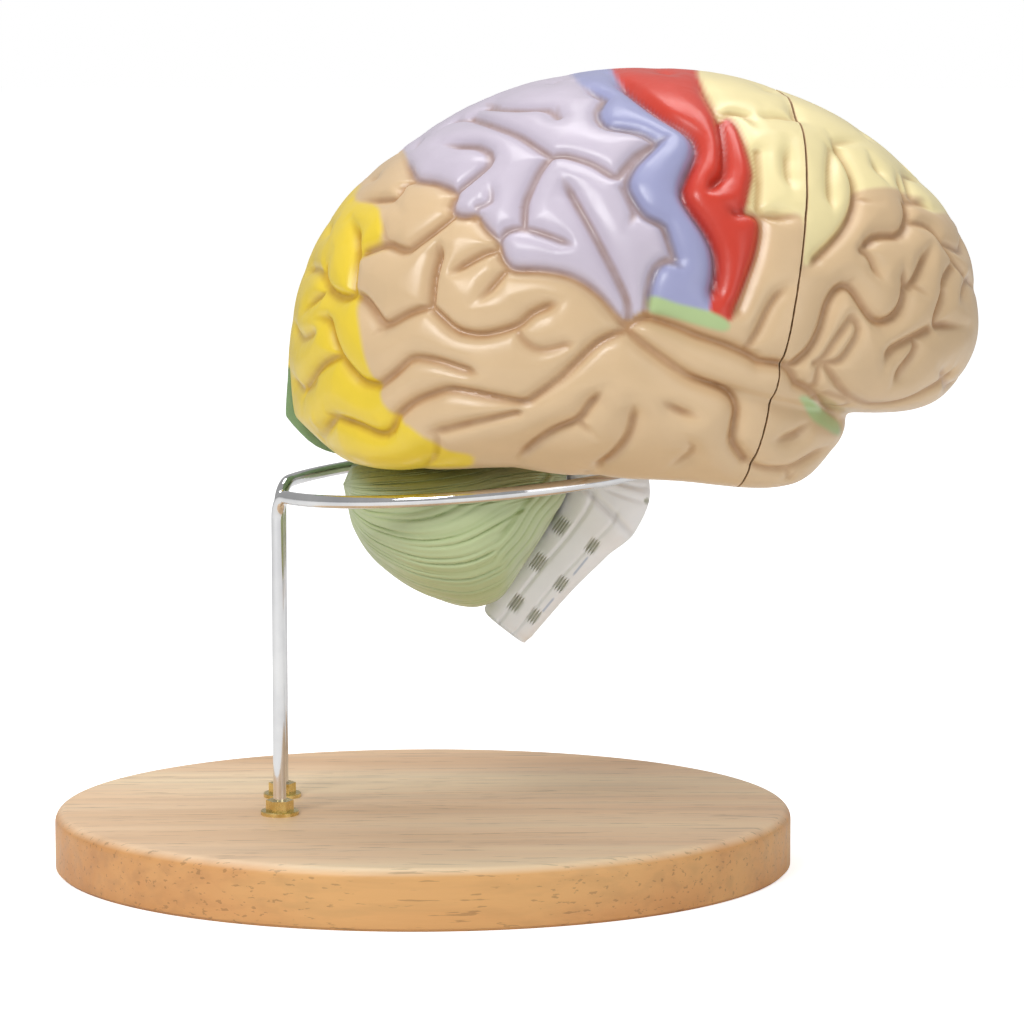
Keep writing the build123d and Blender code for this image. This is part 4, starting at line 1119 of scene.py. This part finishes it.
def brainstem_form(side):
    """One half of the brainstem, flat on top and cut across at its lower end."""
    piece, share, angle = ball_of_rings(f"{SIDE_NAMES[side]}_brainstem_casting", *STEM_RINGS)
    outer, slant, across = half_round(angle)
    place, fore, below, cap = stem_places(share, outer, slant, across)
    roots, lines, tip = stem_marks(drawn(place - BRAIN_MIDDLE))
    side_share = np.where(outer & (cap >= 1), smooth_step((1 - np.abs(fore)) / 0.12), 0)
    relief = (stem_relief(fore, below) + 0.5 * roots) * side_share
    place[:, 1] += relief * MM
    beside_rim = outer & (np.abs(slant) < np.pi / 2 - 1e-6)
    place[:, 1] = np.where(beside_rim, np.minimum(place[:, 1], 0), place[:, 1])
    place[:, 1] -= HALF_GAP
    if side > 0:
        place[:, 1] *= -1
    set_corners(piece, place)
    # The depth of the relief and the root patches goes to the paint as hollow, which the finish darkens as
    # painted shade.
    set_paint(piece, stem_colours(outer, across, roots, lines, tip), np.clip(relief, 0, 1) * 0.8)
    face_outward(piece)
    return piece


def brainstem_side(side, material):
    """One half of the brainstem with its sockets."""
    piece = brainstem_form(side)
    cutters = []
    for ahead, above in BRAINSTEM_PINS:
        cutters.append(round_cutter((ahead, 0, above), "Y", SMALL_SOCKET_RADIUS, SMALL_SOCKET_DEPTH))
    cut_away(piece, cutters, OFF_WHITE)
    smooth_all(piece)
    name = SIDE_NAMES[side]
    place_piece(piece, "stand", f"{name}_brainstem", material)


# Shader groups that more than one material uses


def new_group(name, inputs, output, kind):
    """A shader group with its input and output nodes."""
    group = bpy.data.node_groups.new(name, "ShaderNodeTree")
    for label, sort in inputs:
        group.interface.new_socket(label, in_out="INPUT", socket_type=sort)
    group.interface.new_socket(output, in_out="OUTPUT", socket_type=kind)
    return group, group.nodes.new("NodeGroupInput"), group.nodes.new("NodeGroupOutput")


def noise_node(group, given, detail):
    texture = group.nodes.new("ShaderNodeTexNoise")
    texture.inputs["Detail"].default_value = detail
    group.links.new(given.outputs["Place"], texture.inputs["Vector"])
    group.links.new(given.outputs["Scale"], texture.inputs["Scale"])
    return texture


def clouds_group():
    """Soft clouds between two values, at a scale in clouds per metre."""
    group, given, result = new_group("clouds", [
        ("Place", "NodeSocketVector"), ("Scale", "NodeSocketFloat"), ("Low", "NodeSocketFloat"),
        ("High", "NodeSocketFloat")], "Value", "NodeSocketFloat")
    texture = noise_node(group, given, 3.0)
    spread = group.nodes.new("ShaderNodeMapRange")
    spread.inputs["From Min"].default_value = 0.32
    spread.inputs["From Max"].default_value = 0.68
    group.links.new(texture.outputs["Fac"], spread.inputs["Value"])
    group.links.new(given.outputs["Low"], spread.inputs["To Min"])
    group.links.new(given.outputs["High"], spread.inputs["To Max"])
    group.links.new(spread.outputs["Result"], result.inputs["Value"])
    return group


def ripple_group():
    """The fine waviness of a brushed or sprayed finish, as a normal."""
    group, given, result = new_group("ripple", [
        ("Place", "NodeSocketVector"), ("Scale", "NodeSocketFloat"), ("Strength", "NodeSocketFloat"),
        ("Distance", "NodeSocketFloat")], "Normal", "NodeSocketVector")
    texture = noise_node(group, given, 2.0)
    node = group.nodes.new("ShaderNodeBump")
    group.links.new(texture.outputs["Fac"], node.inputs["Height"])
    group.links.new(given.outputs["Strength"], node.inputs["Strength"])
    group.links.new(given.outputs["Distance"], node.inputs["Distance"])
    group.links.new(node.outputs["Normal"], result.inputs["Normal"])
    return group


CLOUDS = clouds_group()
RIPPLE = ripple_group()


class Finish:
    """A material with one shader, and short ways to feed it."""

    def __init__(self, name):
        self.material = bpy.data.materials.new(name)
        self.material.use_nodes = True
        self.nodes = self.material.node_tree.nodes
        self.links = self.material.node_tree.links
        self.nodes.clear()
        self.shader = self.nodes.new("ShaderNodeBsdfPrincipled")
        output = self.nodes.new("ShaderNodeOutputMaterial")
        self.links.new(self.shader.outputs[0], output.inputs["Surface"])
        self.place = self.nodes.new("ShaderNodeTexCoord").outputs["Object"]

    def feed(self, socket, value):
        if isinstance(value, bpy.types.NodeSocket):
            self.links.new(value, socket)
        elif isinstance(value, (int, float)):
            socket.default_value = value
        else:
            socket.default_value = (*value, 1.0)

    def set(self, label, value):
        self.feed(self.shader.inputs[label], value)

    def group(self, tree, **values):
        node = self.nodes.new("ShaderNodeGroup")
        node.node_tree = tree
        self.links.new(values.pop("Place", self.place), node.inputs["Place"])
        for label, value in values.items():
            node.inputs[label].default_value = value
        return node.outputs[0]

    def clouds(self, scale, low, high, place=None):
        return self.group(CLOUDS, Place=place or self.place, Scale=scale, Low=low, High=high)

    def ripple(self, scale, strength, distance):
        self.set("Normal", self.group(RIPPLE, Scale=scale, Strength=strength, Distance=distance))

    def mix(self, blend, amount, first, second):
        node = self.nodes.new("ShaderNodeMix")
        node.data_type = "RGBA"
        node.blend_type = blend
        self.feed(node.inputs["Factor"], amount)
        self.feed(node.inputs["A"], first)
        self.feed(node.inputs["B"], second)
        return node.outputs["Result"]

    def ramp(self, value, stops):
        """A ramp from places to grey levels or colours."""
        node = self.nodes.new("ShaderNodeValToRGB")
        elements = node.color_ramp.elements
        while len(elements) < len(stops):
            elements.new(0.5)
        for element, (place, level) in zip(elements, stops):
            element.position = place
            colour = (level, level, level) if isinstance(level, (int, float)) else level
            element.color = (*colour, 1.0)
        self.links.new(value, node.inputs["Fac"])
        return node.outputs["Color"]

    def attribute(self, name, output):
        node = self.nodes.new("ShaderNodeAttribute")
        node.attribute_name = name
        return node.outputs[output]

    def stretched(self, scale):
        node = self.nodes.new("ShaderNodeMapping")
        node.inputs["Scale"].default_value = scale
        self.links.new(self.place, node.inputs["Vector"])
        return node.outputs[0]

    def sum(self, kind, first, second):
        node = self.nodes.new("ShaderNodeMath")
        node.operation = kind
        self.feed(node.inputs[0], first)
        self.feed(node.inputs[1], second)
        return node.outputs[0]


# Materials


def seam_face_mask(finish):
    """One on the flat faces of the frontal seam, zero elsewhere."""
    split = finish.nodes.new("ShaderNodeSeparateXYZ")
    finish.links.new(finish.place, split.inputs[0])
    swept = finish.sum("MULTIPLY", finish.sum("ABSOLUTE", split.outputs["Y"], 0.0), SEAM_SWEEP)
    leant = finish.sum("MULTIPLY", finish.sum("SUBTRACT", split.outputs["Z"], BRAIN_MIDDLE[2]), SEAM_LEAN)
    ahead = finish.sum("SUBTRACT", split.outputs["X"], BRAIN_MIDDLE[0] + SEAM_AHEAD)
    off = finish.sum("SUBTRACT", finish.sum("SUBTRACT", ahead, swept), leant)
    from_face = finish.sum("SUBTRACT", finish.sum("ABSOLUTE", off, 0.0), SEAM_GAP / 2)
    return finish.sum("LESS_THAN", finish.sum("ABSOLUTE", from_face, 0.0), SEAM_FACE_ROOM)


def painted(name, groove_shade_tint, seam_faces):
    """Satin paint over a casting, with painted shade darkening the grooves."""
    finish = Finish(name)
    cloudy = finish.clouds(70.0, 0.94, 1.0)
    colour = finish.mix("MULTIPLY", 1.0, finish.attribute("paint", "Color"), cloudy)
    # Painted shade: where a corner lies deep in a groove, its colour is darkened by the tint, broken up by
    # clouds.
    groove_shade = finish.ramp(finish.attribute("hollow", "Fac"), [(0.25, 0.0), (0.85, 1.0)])
    streaks = finish.sum("MULTIPLY", groove_shade, finish.clouds(220.0, 0.75, 1.0))
    colour = finish.mix("MIX", streaks, colour, finish.mix("MULTIPLY", 1.0, colour, groove_shade_tint))
    if seam_faces:
        raw = finish.mix("MULTIPLY", 1.0, display(*TAN), finish.clouds(400.0, 0.9, 1.0))
        colour = finish.mix("MIX", seam_face_mask(finish), colour, raw)
    finish.set("Base Color", colour)
    finish.set("Roughness", finish.clouds(260.0, 0.30, 0.40))
    finish.set("Coat Weight", 0.12)
    finish.set("Coat Roughness", 0.2)
    finish.ripple(700.0, 0.1, 0.0003)
    return finish.material


def metal(name, dark, light, roughness, scale):
    finish = Finish(name)
    finish.set("Metallic", 1.0)
    finish.set("Base Color", finish.mix("MIX", finish.clouds(scale, 0.0, 1.0), dark, light))
    finish.set("Roughness", finish.clouds(2 * scale, *roughness))
    finish.ripple(3 * scale, 0.05, 0.0002)
    return finish.material


def rim_shade_mask(finish):
    """Zero on the board's top, one from just below it, where the rim is darkened as painted shade."""
    split = finish.nodes.new("ShaderNodeSeparateXYZ")
    finish.links.new(finish.place, split.inputs[0])
    mask = finish.nodes.new("ShaderNodeMapRange")
    mask.inputs["From Min"].default_value = 0.3 * MM
    mask.inputs["From Max"].default_value = 1.8 * MM
    finish.links.new(finish.sum("SUBTRACT", BOARD_TOP, split.outputs["Z"]), mask.inputs["Value"])
    return mask.outputs["Result"]


def pale_wood():
    """Oiled pale hardwood: long grain along X, with short pore dashes, and painted shade on its rim."""
    finish = Finish("pale_wood")
    bands = finish.clouds(1.0, 0.0, 1.0, finish.stretched((4.0, 45.0, 45.0)))
    streaks = finish.clouds(1.0, 0.0, 1.0, finish.stretched((14.0, 320.0, 320.0)))
    pores = finish.clouds(1.0, 0.0, 1.0, finish.stretched((70.0, 1100.0, 1100.0)))
    shades = [(0.0, WOOD_DARK), (0.5, WOOD_MIDDLE), (1.0, WOOD_PALE)]
    tone = finish.ramp(bands, [(place, display(*shade)) for place, shade in shades])
    tone = finish.mix("MULTIPLY", 0.75, tone, finish.ramp(streaks, [(0.0, 0.86), (0.6, 1.0)]))
    tone = finish.mix("MULTIPLY", 0.75, tone, finish.ramp(pores, [(0.06, 0.62), (0.16, 1.0)]))
    # Painted shade: the rim is darkened as though it got less light than the top.
    tone = finish.mix("MULTIPLY", rim_shade_mask(finish), tone, display(*WOOD_RIM_SHADE))
    finish.set("Base Color", tone)
    finish.set("Roughness", finish.sum("ADD", finish.sum("MULTIPLY", streaks, 0.12), 0.38))
    bump = finish.nodes.new("ShaderNodeBump")
    bump.inputs["Strength"].default_value = 0.12
    bump.inputs["Distance"].default_value = 0.0003
    finish.links.new(pores, bump.inputs["Height"])
    finish.set("Normal", bump.outputs["Normal"])
    return finish.material


def dress_frame():
    """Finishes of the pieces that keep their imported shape."""
    finishes = {
        "base_board": pale_wood(),
        "ring_rod": metal("plated_wire", (0.70, 0.70, 0.71), (0.82, 0.82, 0.82), (0.06, 0.11), 120.0),
    }
    brass = metal("yellow_brass", display(0.84, 0.74, 0.46), display(0.94, 0.86, 0.60), (0.2, 0.34), 300.0)
    steel = metal("pin_steel", (0.45, 0.45, 0.45), (0.60, 0.60, 0.60), (0.25, 0.38), 400.0)
    for name in ("upper_washers", "upper_nuts", "lower_washers", "lower_nuts"):
        finishes[name] = brass
    for name in ("midline", "right_frontal", "left_frontal", "cerebellum", "brainstem"):
        finishes[f"{name}_pins"] = steel
    for name, material in finishes.items():
        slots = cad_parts[name].data.materials
        slots.clear()
        slots.append(material)


# Studio


def studio_camera():
    data = bpy.data.cameras.new("studio_camera")
    camera = bpy.data.objects.new("studio_camera", data)
    bpy.context.scene.collection.objects.link(camera)
    data.lens = CAMERA_FOCAL
    data.sensor_width = 36.0
    away = Vector((math.sin(EYE_TURN) * math.cos(EYE_TILT), -math.cos(EYE_TURN) * math.cos(EYE_TILT),
                   math.sin(EYE_TILT)))
    camera.location = Vector(EYE_TARGET) + CAMERA_DISTANCE * away
    camera.rotation_euler = (-away).to_track_quat("-Z", "Y").to_euler()
    bpy.context.scene.camera = camera


def lamp(name, place, size, power):
    data = bpy.data.lights.new(name, "AREA")
    data.shape = "RECTANGLE"
    data.size, data.size_y = size
    data.energy = power
    light = bpy.data.objects.new(name, data)
    light.location = place
    light.rotation_euler = (LIT_PLACE - Vector(place)).to_track_quat("-Z", "Y").to_euler()
    bpy.context.scene.collection.objects.link(light)


def white_air():
    """White surroundings: full white where they are seen, softer as light."""
    world = bpy.data.worlds.new("studio_air")
    bpy.context.scene.world = world
    world.use_nodes = True
    nodes, links = world.node_tree.nodes, world.node_tree.links
    nodes.clear()
    path = nodes.new("ShaderNodeLightPath")
    strength = nodes.new("ShaderNodeMapRange")
    strength.inputs["To Min"].default_value = AIR_LIGHT
    strength.inputs["To Max"].default_value = 1.0
    links.new(path.outputs["Is Camera Ray"], strength.inputs["Value"])
    air = nodes.new("ShaderNodeBackground")
    air.inputs["Color"].default_value = (1, 1, 1, 1)
    links.new(strength.outputs[0], air.inputs["Strength"])
    output = nodes.new("ShaderNodeOutputWorld")
    links.new(air.outputs[0], output.inputs["Surface"])


def studio_floor():
    """A white floor, lifted to full white for the camera, so that only the shadow of the board shows."""
    deselect()
    bpy.ops.mesh.primitive_plane_add(size=12)
    floor = start_piece("studio_floor")
    finish = Finish("studio_floor")
    finish.set("Base Color", (0.86, 0.86, 0.86))
    finish.set("Roughness", 0.9)
    finish.set("Emission Color", (1.0, 1.0, 1.0))
    path = finish.nodes.new("ShaderNodeLightPath")
    finish.set("Emission Strength", finish.sum("MULTIPLY", path.outputs["Is Camera Ray"], FLOOR_LIFT))
    floor.data.materials.append(finish.material)


def studio():
    """A large soft lamp above the left shoulder, a weak fill and light from above."""
    white_air()
    lamp("key_lamp", (-0.6, -0.9, 1.1), (0.6, 0.6), 11.0)
    lamp("fill_lamp", (0.9, -0.9, 0.4), (0.8, 0.8), 2.0)
    lamp("top_lamp", (0.1, 0.3, 1.3), (0.9, 0.6), 7.0)
    studio_floor()


bpy.context.scene.view_settings.view_transform = "Standard"
studio_camera()
studio()
dress_frame()
# The tints darken the grooves of each finish as painted shade.
casting_paint = painted("casting_paint", (0.66, 0.52, 0.42), seam_faces=True)
leaf_paint = painted("leaf_paint", (0.74, 0.79, 0.64), seam_faces=False)
stem_paint = painted("stem_paint", (0.80, 0.79, 0.78), seam_faces=False)
for half in (-1, 1):
    cerebrum_side(half, casting_paint)
    cerebellum_side(half, leaf_paint)
    brainstem_side(half, stem_paint)
